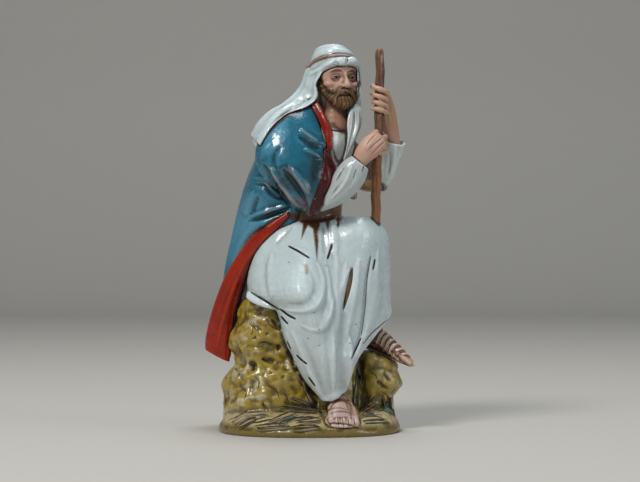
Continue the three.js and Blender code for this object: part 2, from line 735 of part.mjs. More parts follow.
function creased(cloth) {
  const frontAt = frontFinder(cloth);
  let result = cloth;
  for (const { depth, width, line } of CREASES) {
    const stations = line.map(([x, z], i) => {
      const y = frontAt(x * UNIT, z * UNIT + LIFT) / UNIT;
      const half = width * (i === 0 || i === line.length - 1 ? 0.5 : 1);
      return [x, y + depth - half, z, half, half];
    });
    const cutter = skin(stations, { side: [0.7, 0, 0.7], around: 6, steps: 1, domes: [0, 0] });
    result = result.subtract(cutter);
  }
  return result;
}

const cloths = [tunicSkirt, tunicBody, cloak];
const others = [
  plinth, seatRock, footRock, grass, lining, sleeves, staff,
  leftHand, rightHand, head, beard, headCloth, rightFoot, leftFoot,
];
const casting = join([creased(join(cloths.map((make) => make()))), ...others.map((make) => make())]);

// The largest body of the casting as a three.js geometry: no loose crumbs are kept.
function geometryOf(manifold) {
  const whole = manifold.decompose().sort((a, b) => b.volume() - a.volume())[0];
  const mesh = whole.getMesh();
  const geometry = new THREE.BufferGeometry();
  geometry.setAttribute("position", new THREE.BufferAttribute(Float32Array.from(mesh.vertProperties), 3));
  geometry.setIndex(Array.from(mesh.triVerts));
  geometry.computeVertexNormals();
  return geometry;
}

const painted = new THREE.MeshStandardMaterial({ color: 0xcfd3c8, roughness: 0.35, metalness: 0 });
const figure = new THREE.Mesh(geometryOf(casting), painted);
figure.name = "seated_shepherd";

const part = new THREE.Group();
part.add(figure);
export default part;
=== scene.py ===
# %% [markdown]
# # A seated shepherd for a crib scene
#
# The real object is one plastic casting, about 10 cm high, painted by hand and varnished. A dark
# thin wash lies in every crease, and the raised edges have lost some of their colour. One mesh
# could hold it all, but this file makes a piece of each painted part, as a painter sees them.

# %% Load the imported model
from math import cos, pi, radians, sin

import bpy
import numpy as np
from numpy.linalg import norm
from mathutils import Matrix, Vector
from mathutils.bvhtree import BVHTree


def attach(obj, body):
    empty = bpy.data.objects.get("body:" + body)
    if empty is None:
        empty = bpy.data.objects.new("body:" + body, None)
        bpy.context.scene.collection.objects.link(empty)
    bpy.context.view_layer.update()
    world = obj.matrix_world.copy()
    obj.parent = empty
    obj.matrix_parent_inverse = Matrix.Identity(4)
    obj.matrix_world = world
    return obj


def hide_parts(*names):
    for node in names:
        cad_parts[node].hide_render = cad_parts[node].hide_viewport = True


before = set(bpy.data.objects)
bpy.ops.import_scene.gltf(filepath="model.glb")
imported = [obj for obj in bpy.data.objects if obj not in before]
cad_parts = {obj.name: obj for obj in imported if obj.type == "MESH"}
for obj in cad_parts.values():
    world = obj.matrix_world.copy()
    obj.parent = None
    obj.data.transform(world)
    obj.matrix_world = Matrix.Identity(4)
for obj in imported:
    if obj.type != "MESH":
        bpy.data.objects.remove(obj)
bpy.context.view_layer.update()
NODE = "seated_shepherd"
BODY = "root"
MM = 0.001

# %% [markdown]
# The camera stands straight in front, a good half metre away and at half the figure's height. A
# short lens close by would swell the knees. This long lens keeps the proportions as flat as the
# photograph shows them.

# %% Camera
CAMERA = (2.74, -520.0, 49.3)
bpy.ops.object.camera_add(location=[v * MM for v in CAMERA], rotation=(radians(90), 0, 0))
camera = bpy.context.object
camera.name = "camera"
camera.data.lens = 111.9
bpy.context.scene.camera = camera
print("camera", tuple(round(v, 4) for v in camera.location))

# %% [markdown]
# ## Forms from sections
#
# Drapery and limbs have no simple primitive to start from. They could be pushed out of a sphere
# by hand, but then they would drift away from the solid that they cover. A loft keeps them true:
# a few elliptical sections stand along a path, and a smooth curve runs through each of their
# values. The sections are written in millimetres.

# %% Smooth rows and closed skins
def row_at(rows, s):
    """One row of numbers at distance s along the rows, on a Catmull-Rom curve."""
    last = len(rows) - 1
    i = min(int(s), last - 1)
    t = s - i
    p0, p1, p2, p3 = (rows[min(max(k, 0), last)] for k in (i - 1, i, i + 1, i + 2))
    slope_in = (p2 - p0) / 2
    slope_out = (p3 - p1) / 2
    a = 2 * p1 - 2 * p2 + slope_in + slope_out
    b = -3 * p1 + 3 * p2 - 2 * slope_in - slope_out
    return ((a * t + b) * t + slope_in) * t + p1


def skinned(rings, name):
    """A closed mesh over rings of points, with a flat face at each end."""
    around = len(rings[0])
    points = np.concatenate(rings) * MM
    faces = []
    for i in range(len(rings) - 1):
        for j in range(around):
            k = (j + 1) % around
            low, high = i * around, (i + 1) * around
            faces.append((low + j, low + k, high + k, high + j))
    faces.append(tuple(range(around))[::-1])
    faces.append(tuple(range(len(points) - around, len(points))))
    mesh = bpy.data.meshes.new(name)
    mesh.from_pydata(points.tolist(), [], faces)
    piece = bpy.data.objects.new(name, mesh)
    bpy.context.scene.collection.objects.link(piece)
    return piece


print("a straight row and a bent one:", row_at(np.array([[0.0], [1.0], [3.0]]), 1.5))

# %% Level forms and limbs
SMOOTH_STEPS = 5


def ring_at(rows, s, level, side, around, scale, push, fold, corner):
    """The points of one section: level, or square to the path."""
    last = len(rows) - 1
    x, y, z, a, b, turn, tilt_x, tilt_y = row_at(rows, s)
    before = row_at(rows, max(0, s - 0.05))[:3]
    after = row_at(rows, min(last, s + 0.05))[:3]
    ahead = (after - before) / norm(after - before)
    if level:
        c, d = cos(radians(turn)), sin(radians(turn))
        u = np.array([c, d, c * tilt_x + d * tilt_y])
        v = np.array([-d, c, -d * tilt_x + c * tilt_y])
        v = -v if ahead[2] < 0 else v
    else:
        u = np.array(side, float)
        u = u - ahead * u.dot(ahead)
        u /= norm(u)
        v = np.cross(ahead, u)
    centre = np.array([x, y, z]) + ahead * push * min(a, b)
    angles = np.arange(around) / around * 2 * pi
    c, d = np.cos(angles), np.sin(angles)
    full = (np.abs(c) ** corner + np.abs(d) ** corner) ** (-1 / corner)
    out = (np.outer(a * c * full, u) + np.outer(b * d * full, v)) * scale
    points = centre + out
    if fold is None:
        return points
    depth = fold(np.degrees(angles), s / last, points) * scale
    lengths = norm(out, axis=1, keepdims=True)
    return points + out / lengths * depth[:, None]


def form(stations, level=False, side=(1, 0, 0), around=24, domes=(1, 1), fold=None, corner=2):
    """A loft over rows of x, y, z, half-widths a and b, turn, and the tilts along x and y."""
    rows = np.array([list(row) + [0] * (8 - len(row)) for row in stations], float)
    last = len(rows) - 1
    settings = dict(level=level, side=side, around=around, fold=fold, corner=corner)
    rings = []
    dome_angles = [radians(e) for e in (80, 60, 40, 20)]
    if domes[0]:
        for e in dome_angles:
            rings.append(ring_at(rows, 0, scale=cos(e), push=-sin(e) * domes[0], **settings))
    for i in range(last * SMOOTH_STEPS + 1):
        rings.append(ring_at(rows, i / SMOOTH_STEPS, scale=1, push=0, **settings))
    if domes[1]:
        for e in reversed(dome_angles):
            rings.append(ring_at(rows, last, scale=cos(e), push=sin(e) * domes[1], **settings))
    return skinned(rings, "form")


def drape(rings, fold=None, per_span=6):
    """Cloth over more than one limb: closed rings of named points, smooth along and across."""
    corners = np.array(rings, float)
    count = corners.shape[1]
    sections = []
    for i in range((len(rings) - 1) * SMOOTH_STEPS + 1):
        ring = row_at(corners, i / SMOOTH_STEPS)
        closed = np.concatenate([ring[-1:], ring, ring[:2]])
        section = np.array([row_at(closed, 1 + j / per_span) for j in range(count * per_span)])
        if fold is not None:
            share = i / (len(rings) - 1) / SMOOTH_STEPS
            out = (section - section.mean(axis=0)) * [1, 1, 0]
            out /= norm(out, axis=1, keepdims=True)
            angles = np.arange(len(section)) / len(section) * 360
            section = section + out * fold(angles, share, section)[:, None]
        sections.append(section)
    return skinned(sections, "drape")


def pleats(angles, share, count, depth, slant=0.0):
    """Ridges that run along a form, count of them round it, slanting by slant turns."""
    return depth * np.sin(np.radians(angles * count + share * slant * 360))


def lumps(points, size, depth):
    """Soft lumps for stone: the same three waves at any size."""
    x, y, z = (points / size).T
    wave = np.sin(x + 1.7 * np.sin(z)) + np.sin(1.3 * y + 1.1 * np.sin(1.6 * x))
    return depth * (wave + np.sin(1.9 * z + 0.9 * y)) / 3


test = form([[0, 0, 0, 1, 1], [0, 0, 4, 1, 1]])
print("a peg has", len(test.data.polygons), "faces")
bpy.data.objects.remove(test)


# %% Eggs: a sphere, stretched and turned
def egg(centre, size, turn=0.0):
    """A primitive sphere at its place, for small round forms."""
    bpy.ops.mesh.primitive_uv_sphere_add(
        segments=24, ring_count=16, radius=MM,
        location=[v * MM for v in centre], rotation=(0, 0, radians(turn)), scale=size)
    made = bpy.context.object
    bpy.ops.object.transform_apply(location=True, rotation=True, scale=True)
    return made


# %% [markdown]
# ## Fusing and smoothing
#
# A moulded figure has no sharp seams where an arm meets a body: the mould rounds them. Joining
# the forms and running a voxel remesh over them gives the same soft valleys, and an even mesh
# that can be carved further. A boolean union would keep knife-sharp seams and long thin faces.

# %% Choose, join and change pieces
def choose(pieces):
    bpy.ops.object.select_all(action="DESELECT")
    for piece in pieces:
        piece.select_set(True)
    bpy.context.view_layer.objects.active = pieces[0]


def apply_modifier(piece, kind, **values):
    choose([piece])
    modifier = piece.modifiers.new(kind.lower(), kind)
    for key, value in values.items():
        setattr(modifier, key, value)
    bpy.ops.object.modifier_apply(modifier=modifier.name)


def joined(name, pieces):
    """One mesh of several, under its own name."""
    choose(pieces)
    if len(pieces) > 1:
        bpy.ops.object.join()
    piece = bpy.context.view_layer.objects.active
    piece.name = name
    piece.data.name = name
    return piece


def turn_outward(piece):
    """Lets all faces of closed forms look outward."""
    choose([piece])
    bpy.ops.object.mode_set(mode="EDIT")
    bpy.ops.mesh.select_all(action="SELECT")
    bpy.ops.mesh.normals_make_consistent(inside=False)
    bpy.ops.object.mode_set(mode="OBJECT")


# %% Fuse forms into one skin
def fuse(name, forms, grain, soften):
    """One even skin round all the forms, its faces about grain millimetres wide."""
    piece = joined(name, forms)
    apply_modifier(piece, "REMESH", mode="VOXEL", voxel_size=grain * MM)
    if soften:
        apply_modifier(piece, "SMOOTH", factor=0.5, iterations=soften)
    print(name, len(piece.data.polygons) * 2, "triangles")
    return piece


def points_of(piece):
    values = np.empty(len(piece.data.vertices) * 3, np.float32)
    piece.data.vertices.foreach_get("co", values)
    return values.reshape(-1, 3).astype(float) / MM


def normals_of(piece):
    values = np.empty(len(piece.data.vertices) * 3, np.float32)
    piece.data.vertex_normals.foreach_get("vector", values)
    return values.reshape(-1, 3).astype(float)


def set_points(piece, points):
    piece.data.vertices.foreach_set("co", (points * MM).astype(np.float32).ravel())
    piece.data.update()


# %% [markdown]
# ## Carving along lines
#
# Folds run along lines, so they are carved along lines. Each line is written as it shows in the
# front view, and the points of the skin that show beside it move in or out along their normals.
# A sculpting brush would do the same, but a line can be read and corrected later.

# %% Strokes in the front view
def front_view(points):
    """Where points show from the camera, on an upright plane through the origin."""
    cx, cy, cz = CAMERA
    share = -cy / (points[:, 1] - cy)
    return np.stack([cx + (points[:, 0] - cx) * share, cz + (points[:, 2] - cz) * share], axis=1)


def smooth_line(line, per_span=6):
    rows = np.array(line, float)
    count = (len(rows) - 1) * per_span
    return np.array([row_at(rows, i / per_span) for i in range(count + 1)])


def unit(values):
    return np.clip(values, 0, 1)


def span_gap(spots, start, step):
    """Distance of each spot from one straight span, and its share of the way along it."""
    t = unit(((spots - start) @ step) / (step @ step))
    return norm(spots - start - t[:, None] * step, axis=1), t


def beside(spots, line):
    """Distance of each spot from the line, and its share of the way along it."""
    path = smooth_line(line)
    nearest = np.full(len(spots), 1e9)
    share = np.zeros(len(spots))
    for i in range(len(path) - 1):
        gap, t = span_gap(spots, path[i], path[i + 1] - path[i])
        closer = gap < nearest
        nearest[closer] = gap[closer]
        share[closer] = (i + t[closer]) / (len(path) - 1)
    return nearest, share


def stroke_mask(spots, line, width, taper=0.5):
    """1 on the line, falling to 0 beside it and thinning towards its ends."""
    reach = max(width * 3, 0.1)
    low = np.min(line, axis=0) - reach
    high = np.max(line, axis=0) + reach
    inside = np.all((spots > low) & (spots < high), axis=1)
    result = np.zeros(len(spots))
    if not inside.any():
        return result
    gap, share = beside(spots[inside], line)
    ends = np.sin(pi * np.clip(share, 0.02, 0.98)) ** taper
    result[inside] = np.exp(-((gap / (width * ends)) ** 2)) * ends
    return result


def facing(normals):
    """1 where the skin looks to the front, fading to 0 where it turns away."""
    return unit(-normals[:, 1] / 0.3)


def fade_in(values, start, span):
    """0 before start, growing to 1 over span. With a span below 0 it grows downward."""
    return unit((values - start) / span)


print("a mask grows from", fade_in(0, 0, 2), "to", fade_in(2, 0, 2))

# %% Carve along strokes
PIXEL = 0.2614


def shown(*spots):
    """Places counted in pixels of a 640 by 482 picture, as millimetres in the front view."""
    return [(CAMERA[0] + (x - 320) * PIXEL, CAMERA[2] + (241 - y) * PIXEL) for x, y in spots]


def carve(piece, strokes):
    """Moves the skin along its normals. A stroke is a depth, a width and places in pixels."""
    points, normals = points_of(piece), normals_of(piece)
    spots = front_view(points)
    strength = facing(normals)
    depth = np.zeros(len(points))
    for amount, width, *places in strokes:
        depth += amount * stroke_mask(spots, shown(*places), width)
    set_points(piece, points + normals * (depth * strength)[:, None])
    print(piece.name, "carved with", len(strokes), "strokes")


print("a pixel of the picture is", PIXEL, "mm wide")

# %% [markdown]
# ## Cloth laid on a form
#
# A scarf end or a turned edge lies on what carries it. A cloth simulation could settle it there,
# but nobody can say where its folds will fall. So it is drawn as a strip between two lines of the
# front view. Each row also says how far back its two edges lie. Where the body under it stands
# nearer, a ray finds that, and the strip moves out in front of it.

# %% Strips laid on other pieces
def tree_of(piece):
    spots = [Vector(p) for p in points_of(piece)]
    return BVHTree.FromPolygons(spots, [tuple(face.vertices) for face in piece.data.polygons])


def depth_behind(spot, trees):
    """How far back the first skin lies behind a spot of the front view, or None."""
    eye = Vector(CAMERA)
    ray = (Vector((spot[0], 0, spot[1])) - eye).normalized()
    depths = [tree.ray_cast(eye, ray)[0] for tree in trees]
    depths = [place.y for place in depths if place is not None]
    return min(depths) if depths else None


def placed(spot, y):
    """The point at depth y that shows at a spot of the front view."""
    share = (y - CAMERA[1]) / -CAMERA[1]
    return [CAMERA[0] + (spot[0] - CAMERA[0]) * share, y, CAMERA[2] + (spot[1] - CAMERA[2]) * share]


def strip(rows, onto=(), lift=0.4, puff=0.4, thick=2.0, across=10, steps=4):
    """A closed strip. A row is a place in pixels on each edge, and how far back each edge lies."""
    trees = [tree_of(piece) for piece in onto]
    table = np.array([[*shown(a)[0], *shown(b)[0], y_a, y_b] for a, b, y_a, y_b in rows], float)
    count = (len(table) - 1) * steps + 1
    lines = np.array([row_at(table, i / steps) for i in range(count)])
    shares = np.arange(across + 1) / across
    depth = np.zeros((count, across + 1))
    front = np.full((count, across + 1), 1e9)
    for i, (ax, az, bx, bz, y_a, y_b) in enumerate(lines):
        for j, t in enumerate(shares):
            y = y_a + (y_b - y_a) * t
            found = depth_behind((ax + (bx - ax) * t, az + (bz - az) * t), trees) if trees else None
            front[i, j] = 1e9 if found is None else found - lift * 0.6
            depth[i, j] = y if found is None else min(y, found - lift)
    for _ in range(3):
        padded = np.pad(depth, 1, mode="edge")
        depth = (padded[:-2, 1:-1] + padded[2:, 1:-1] + padded[1:-1, :-2] + padded[1:-1, 2:]
                 + 2 * depth) / 6
    depth = np.minimum(depth, front)
    rings = []
    for i, (ax, az, bx, bz, _, _) in enumerate(lines):
        near, far = [], []
        for j, t in enumerate(shares):
            spot = (ax + (bx - ax) * t, az + (bz - az) * t)
            y = depth[i, j] - puff * sin(pi * t)
            near.append(placed(spot, y))
            far.append(placed(spot, depth[i, j] + thick))
        rings.append(np.array(near + far[::-1]))
    return skinned(rings, "strip")


# %% [markdown]
# ## Brushwork
#
# On the casting, brush marks lie over the flat coats. Painted shade and painted highlights are laid
# the same way here. A painted picture could hold them, but it needs an unwrapped mesh. Here they
# are one colour layer on the points of each piece. A mark is a mask, from 0 to 1 on each point,
# and a colour. Later marks cover earlier ones, as with a brush.

# %% A paint layer for each piece
LAYERS = {}


def paint(red, green, blue):
    """A colour as a screen shows it, turned into light."""
    values = [v / 255 for v in (red, green, blue)]
    linear = [v / 12.92 if v <= 0.04045 else ((v + 0.055) / 1.055) ** 2.4 for v in values]
    return (*linear, 1)


def brush(piece, mask, color, strength=1.0):
    """Lays a colour, given as a screen shows it, over what is painted already."""
    layer = LAYERS.setdefault(piece.name, np.zeros((len(piece.data.vertices), 4)))
    share = unit(mask * strength)[:, None]
    old = layer[:, 3:]
    total = share + old * (1 - share)
    mixed = layer[:, :3] * old * (1 - share) + np.array(paint(*color)[:3]) * share
    layer[:, :3] = mixed / np.maximum(total, 1e-6)
    layer[:, 3:] = total


SOFT_EDGE = 0.16


def within(spots, corners):
    """1 inside a closed outline of the front view, 0 outside it, with a narrow soft edge."""
    x, y = spots.T
    inside = np.zeros(len(spots), bool)
    gap = np.full(len(spots), 1e9)
    for start, end in zip(corners, corners[1:] + corners[:1]):
        (x0, y0), (x1, y1) = start, end
        if y0 != y1:
            inside ^= ((y0 > y) != (y1 > y)) & (x < (x1 - x0) * (y - y0) / (y1 - y0) + x0)
        gap = np.minimum(gap, span_gap(spots, start, np.subtract(end, start))[0])
    return unit(0.5 + np.where(inside, gap, -gap) / SOFT_EDGE / 2)


def mark_line(piece, width, line, color, strength=1.0, taper=0.5):
    """A painted stroke with crisp sides, along a line of the front view."""
    profile = stroke_mask(front_view(points_of(piece)), line, width, taper)
    mask = unit(profile * 3 - 0.9) * facing(normals_of(piece))
    brush(piece, mask, color, strength)


def mark_lines(piece, rows, color, strength=1.0, taper=0.5):
    """Strokes of one colour: a row is a width and places in pixels."""
    for width, *places in rows:
        mark_line(piece, width, shown(*places), color, strength, taper)


def soft_lines(piece, rows, color, strength, taper=0.5):
    """Strokes with wide soft sides, in rows like those of mark_lines."""
    spots = front_view(points_of(piece))
    for width, *places in rows:
        brush(piece, stroke_mask(spots, shown(*places), width, taper), color, strength)


def mark_areas(piece, rows):
    """Filled outlines: a row is a colour, a strength and corners in pixels."""
    spots, front = front_view(points_of(piece)), facing(normals_of(piece))
    for color, strength, *corners in rows:
        brush(piece, within(spots, shown(*corners)) * front, color, strength)


def tell_paint(piece):
    share = LAYERS[piece.name][:, 3].mean()
    print(piece.name, "has brush marks on", round(100 * share), "percent of its points")


print("paint layers are ready")


# %% [markdown]
# A brush leaves a line with sharp sides, sharper than the grain of a carved skin. So the thin
# dark lines are ribbons of their own, about a tenth of a millimetre thick, and a ray lays each
# point of them on what is under it.

# %% Thin painted lines
LINE_LIFTS = {"cream": 0.03, "umber": 0.045, "brown": 0.06, "dark": 0.075}
LINE_JUMP = 1.2
line_jobs = {kind: [] for kind in LINE_LIFTS}


def painted_line(kind, width, line, onto, taper=0.25):
    """Notes a line, to be laid on the pieces when all of them stand."""
    line_jobs[kind].append((width, line, onto, taper))


def painted_lines(onto, rows, taper=0.25):
    """Fine lines: a row is a kind of line, a width and places in pixels."""
    for kind, width, *places in rows:
        painted_line(kind, width, shown(*places), onto, taper)


def like_lines(kind, width, onto, rows, taper=0.25):
    """Fine lines of one kind and width: a row is only places in pixels."""
    painted_lines(onto, [(kind, width, *places) for places in rows], taper)


def ribbon(width, line, taper, trees, lift, rise=0.0):
    """A ribbon along a line of the front view, narrower at both ends and raised in the middle."""
    path = smooth_line(line)
    count = len(path)
    rings = []
    for i, spot in enumerate(path):
        ahead = path[min(i + 1, count - 1)] - path[max(i - 1, 0)]
        across = np.array([-ahead[1], ahead[0]]) / norm(ahead)
        half = width / 2 * max(sin(pi * i / (count - 1)), 0.02) ** taper
        spots = [spot + across * half * k for k in (1, 0, -1)]
        depths = [depth_behind(place, trees) for place in spots]
        if None in depths or max(depths) - min(depths) > LINE_JUMP:
            continue
        depths[1] -= rise
        near = [placed(place, y - lift) for place, y in zip(spots, depths)]
        far = [placed(place, y + lift) for place, y in zip(spots, depths)]
        rings.append(np.array(near + far[::-1]))
    return skinned(rings, "line") if len(rings) > 1 else None


print("lines are lifted by", LINE_LIFTS, "mm")


# %% [markdown]
# ## The white tunic
#
# Thin cloth pulled over two bent legs: it lies tight on the thighs and knees and falls into long
# soft folds below. One drape runs from the hem over shins, knees and lap, because separate tubes
# for the legs would show trousers and not a robe.

# %% Tunic: skirt, chest and the cloth tucked under the thigh
HEM = [
    (3.2, -16.4, 8.9), (5.4, -18.2, 8.7), (8, -17.6, 9.9), (9.4, -15.6, 11.4), (9, -13.4, 12),
    (7.6, -12, 12), (6, -11.6, 11.6), (4.4, -12.4, 10.6), (3.2, -14.2, 9.6),
]
ANKLE = [
    (-1.1, -17.3, 14.2), (3.4, -20.2, 14), (8, -19.2, 14.4), (10.4, -16, 15), (10.2, -12.6, 15),
    (8.2, -10.4, 15), (5.4, -9.6, 15), (1.4, -10.8, 14.6), (-1, -14, 14.2),
]
SHIN = [
    (-3.8, -17.6, 20), (2, -22, 20), (8, -20, 20), (12.4, -15, 19.6), (12.6, -10.6, 20),
    (10, -7.6, 20), (6, -6.6, 20), (0.4, -8, 20), (-3.8, -12.6, 20),
]
LEFT_HEM = [
    (-5.8, -17.6, 24.6), (0.8, -23, 25), (8, -18.5, 24.5), (14, -12.4, 23), (20.6, -2, 29.2),
    (17.6, 3, 28), (8, 0, 26), (0, -3, 25), (-5.8, -10, 24.6),
]
CALVES = [
    (-7.6, -17, 31.8), (-0.4, -24.6, 32), (8, -17.4, 32), (14.2, -12.6, 32), (20.9, -4, 33),
    (17.6, 4, 32), (6, 5, 32), (-4, 2, 32), (-8.6, -8, 32.4),
]
KNEES = [
    (-11.6, -14.6, 37), (-2.6, -25.2, 38), (7, -17, 38), (14.3, -13, 38), (20.9, -4.4, 38),
    (17, 4, 38), (5, 8, 38), (-8, 10, 37), (-16, -2.4, 37),
]
THIGHS = [
    (-9.4, -10.6, 48.6), (-1.5, -14.6, 49.4), (5.5, -13.4, 49.4), (14, -13, 49.4),
    (20.6, -5.6, 49.4), (15, 1.5, 49.4), (6, 7, 49.4), (-4, 9, 49.4), (-13, -5, 48.6),
]
LAP = [
    (-5, -9.4, 53.2), (2, -10.6, 53.6), (8, -11, 53.6), (14, -11.6, 53.6), (18.8, -6, 53.6),
    (14, -0.5, 53.6), (7, 3, 53.6), (0, 5, 53.6), (-7.6, -4, 53),
]
LAP_TOP = [
    (1.4, -6, 55.6), (6, -7.4, 55.6), (10, -8.4, 55.6), (14, -9, 55.6), (16.8, -6, 55.6),
    (13.5, -2.5, 55.6), (9, -0.5, 55.6), (5, -0.5, 55.6), (1.4, -2.5, 55.6),
]
SKIRT = [HEM, ANKLE, SHIN, LEFT_HEM, CALVES, KNEES, THIGHS, LAP, LAP_TOP]


def skirt_folds(angles, share, points):
    return pleats(angles, share, 7, 0.3 * (1 - share), 0.12)


CHEST = [
    [1, -1, 53, 7, 7.4, -32],
    [2, -2, 60, 6.6, 7.2, -32],
    [2.6, -3, 67, 6.6, 8, -32],
    [4.2, -4.8, 74, 7, 8.4, -32],
    [5.2, -5.4, 79, 4.9, 5.6, -32],
]
SCRAP = [
    ((247, 291), (246, 298), -8, -9),
    ((256, 293), (253, 303), -10, -11),
    ((268, 300), (266, 308), -12, -13),
    ((280, 308), (281, 311), -12, -13),
]
tunic = fuse("tunic", [
    drape(SKIRT, fold=skirt_folds),
    form(CHEST, level=True, domes=(0, 0.4)),
    strip(SCRAP, puff=0.5, thick=4),
], grain=0.33, soften=4)

# %% Tunic: folds
ROBE_FOLDS = [
    (0.5, 0.8, (317, 262), (323, 280), (321, 298), (313, 308), (300, 311), (283, 309)),
    (-0.35, 0.9, (310, 270), (316, 284), (313, 297), (304, 304), (288, 304)),
    (0.45, 0.7, (325, 258), (329, 285), (330, 311), (324, 327), (313, 330), (299, 324)),
    (0.4, 0.8, (319, 329), (327, 316), (332, 298)),
    (0.5, 1.0, (272, 252), (270, 275), (272, 298)),
    (-0.4, 0.8, (266, 262), (264, 282), (268, 300)),
    (-0.6, 0.5, (352, 266), (350, 278), (347, 293), (343, 311)),
    (0.4, 1.0, (346, 262), (343, 280), (340, 300), (336, 330)),
    (0.5, 1.1, (358, 258), (356, 280), (352, 305), (346, 340)),
    (-0.6, 0.7, (371, 254), (367, 280), (365, 310), (361, 335), (351, 360)),
    (0.5, 1.0, (378, 250), (376, 285), (372, 315), (364, 340)),
    (-0.2, 0.9, (385, 262), (384, 290), (378, 316)),
    (0.5, 1.2, (335, 250), (336, 300), (333, 350), (333, 390)),
    (-0.25, 1.1, (326, 335), (329, 365), (331, 394)),
    (-0.25, 1.1, (341, 325), (343, 360), (341, 392)),
    (0.5, 0.9, (349, 335), (351, 362), (347, 388)),
    (0.5, 1.0, (292, 330), (302, 352), (314, 380), (323, 398)),
    (-0.25, 1.0, (303, 340), (312, 362), (322, 388)),
    (-0.5, 0.8, (293, 226), (284, 234), (275, 245)),
    (-0.5, 0.7, (322, 226), (324, 240), (325, 254)),
    (0.5, 0.9, (332, 224), (334, 240), (334, 256)),
]
ROBE_LINES = [
    ("dark", 0.55, (288.5, 246), (298, 251), (309.5, 258)),
    ("dark", 0.6, (332, 244), (330, 251), (327.5, 259)),
    ("brown", 0.45, (338.5, 216), (337.5, 226)),
    ("dark", 0.4, (375, 259), (374, 265), (373, 270)),
    ("dark", 0.55, (280, 309), (288, 315), (295.5, 319)),
    ("dark", 0.5, (281, 316), (284, 320), (288, 324)),
    ("dark", 0.5, (296.5, 355), (301, 359.5), (307, 364)),
    ("dark", 0.45, (308.5, 377), (315, 386)),
    ("brown", 0.16, (371, 256), (367, 280), (365, 309), (361, 336)),
    ("dark", 0.4, (361, 338), (356, 349), (351, 359)),
    ("dark", 0.45, (248, 290), (262, 299), (280, 310)),
    ("brown", 0.2, (388, 319), (380, 326), (372, 333), (363, 344)),
]
carve(tunic, ROBE_FOLDS + [(-0.22, 0.3, *places) for _, _, *places in ROBE_LINES])
painted_lines((tunic,), ROBE_LINES, taper=0.15)

# %% Tunic: brown wash and painted shade at the waist, and the worn spots
# Brown wash in the crease at the waist, deepened as painted shade under the arms.
WAIST_STAR = (
    (84, 48, 18), 1,
    (289, 212), (300, 208), (330, 206), (343, 198), (356, 188), (360, 196), (347, 206), (342, 218),
    (338, 229), (335, 219), (330, 221), (328, 231), (325, 222), (320, 223), (317, 262), (313, 229),
    (308, 225), (301, 240), (303, 224), (297, 220), (290, 217))
# Painted shade on the waist under the right sleeve.
SHADE_UNDER_SLEEVE = ((122, 72, 28), 0.85, (334, 194), (360, 180), (360, 198), (342, 218), (333, 218))
SCUFF = (
    (150, 124, 106), 0.7,
    (303, 264), (307, 264), (309, 270), (308, 275), (305, 274), (304, 269))
mark_areas(tunic, [WAIST_STAR, SHADE_UNDER_SLEEVE, SCUFF])
SLIT = shown((352.5, 267), (350.6, 279), (347.6, 293), (343.5, 310))
SLIT_SHADE = 0.42
painted_line("umber", 1.15, SLIT, (tunic,), taper=0.8)
painted_line("dark", 0.22, [(x - SLIT_SHADE, z) for x, z in SLIT], (tunic,), taper=0.9)
NECK_BROWN = (78, 38, 26)
NECK_LINES = [
    (0.5, (347, 114), (346.6, 130), (346, 145), (343.6, 156), (339.4, 162), (335.6, 158), (333, 148)),
    (0.5, (344, 157), (341, 162), (337, 167)),
]
mark_lines(tunic, NECK_LINES, NECK_BROWN, 0.95, taper=0.25)
SPECKS = [(314, 312), (319, 329), (326, 265), (308, 338), (319, 345), (350, 343), (356, 324), (289, 262)]
for x, y in SPECKS:
    painted_line("brown", 0.26, shown((x - 0.5, y), (x + 0.5, y + 0.7)), (tunic,))

# %% Tunic: painted shade towards the hem, painted light on the chest and on the hem's edge
heights = points_of(tunic)[:, 2]
# Painted shade: greyer towards the hem.
brush(tunic, fade_in(heights, 32, -18), (140, 138, 130), 0.3)
unmarked = LAYERS["tunic"][:, 3] < 0.3
# Painted light: the chest paler where few marks lie.
brush(tunic, fade_in(heights, 58, 6) * unmarked, (222, 220, 210), 0.6)
# A painted highlight along the lower edge of the hem.
HEM_GLEAM = (1, (312, 386), (319, 396), (327, 398), (345, 390))
soft_lines(tunic, [HEM_GLEAM], (226, 236, 244), 0.7)
tell_paint(tunic)

# %% [markdown]
# The sleeves are wide and end in an open cuff, so each is a limb that grows wider, and a second,
# thinner limb is cut out of its end. The cut is a boolean difference made before the remesh.

# %% Sleeves
RIGHT_SLEEVE = [
    [3.4, -14, 58.4, 1.6, 1.8],
    [6.8, -14.8, 61, 2.8, 2.7],
    [9.4, -15.2, 64.3, 3.8, 3.1],
    [11.4, -15.6, 67.2, 3.7, 2.8],
    [13, -15.8, 69.2, 2.7, 2.3],
]
LEFT_SLEEVE = [
    [19.2, -2, 63.4, 1.2, 1.4],
    [19.8, -3.6, 67, 2.3, 2.4],
    [20.7, -5.6, 71.6, 3, 2.8],
    [21.7, -7, 75.2, 3.3, 2.9],
]
CUFF_DEPTH = 2.2
CUFF_WALL = 0.55


def cuffed(stations, side):
    """A sleeve with a hollow in its last stretch."""
    sleeve = form(stations, side=side, domes=(1, 0))
    end, inner = np.array(stations[-1], float), np.array(stations[-2], float)
    way = (end[:3] - inner[:3]) / norm(end[:3] - inner[:3])
    size = end[3:5] - CUFF_WALL
    hollow = form([
        [*(end[:3] - way * CUFF_DEPTH), *(size * 0.85)],
        [*(end[:3] + way * 0.5), *(size * 1.02)],
    ], side=side, domes=(0.4, 0))
    apply_modifier(sleeve, "BOOLEAN", object=hollow, operation="DIFFERENCE", solver="EXACT")
    bpy.data.objects.remove(hollow)
    return sleeve


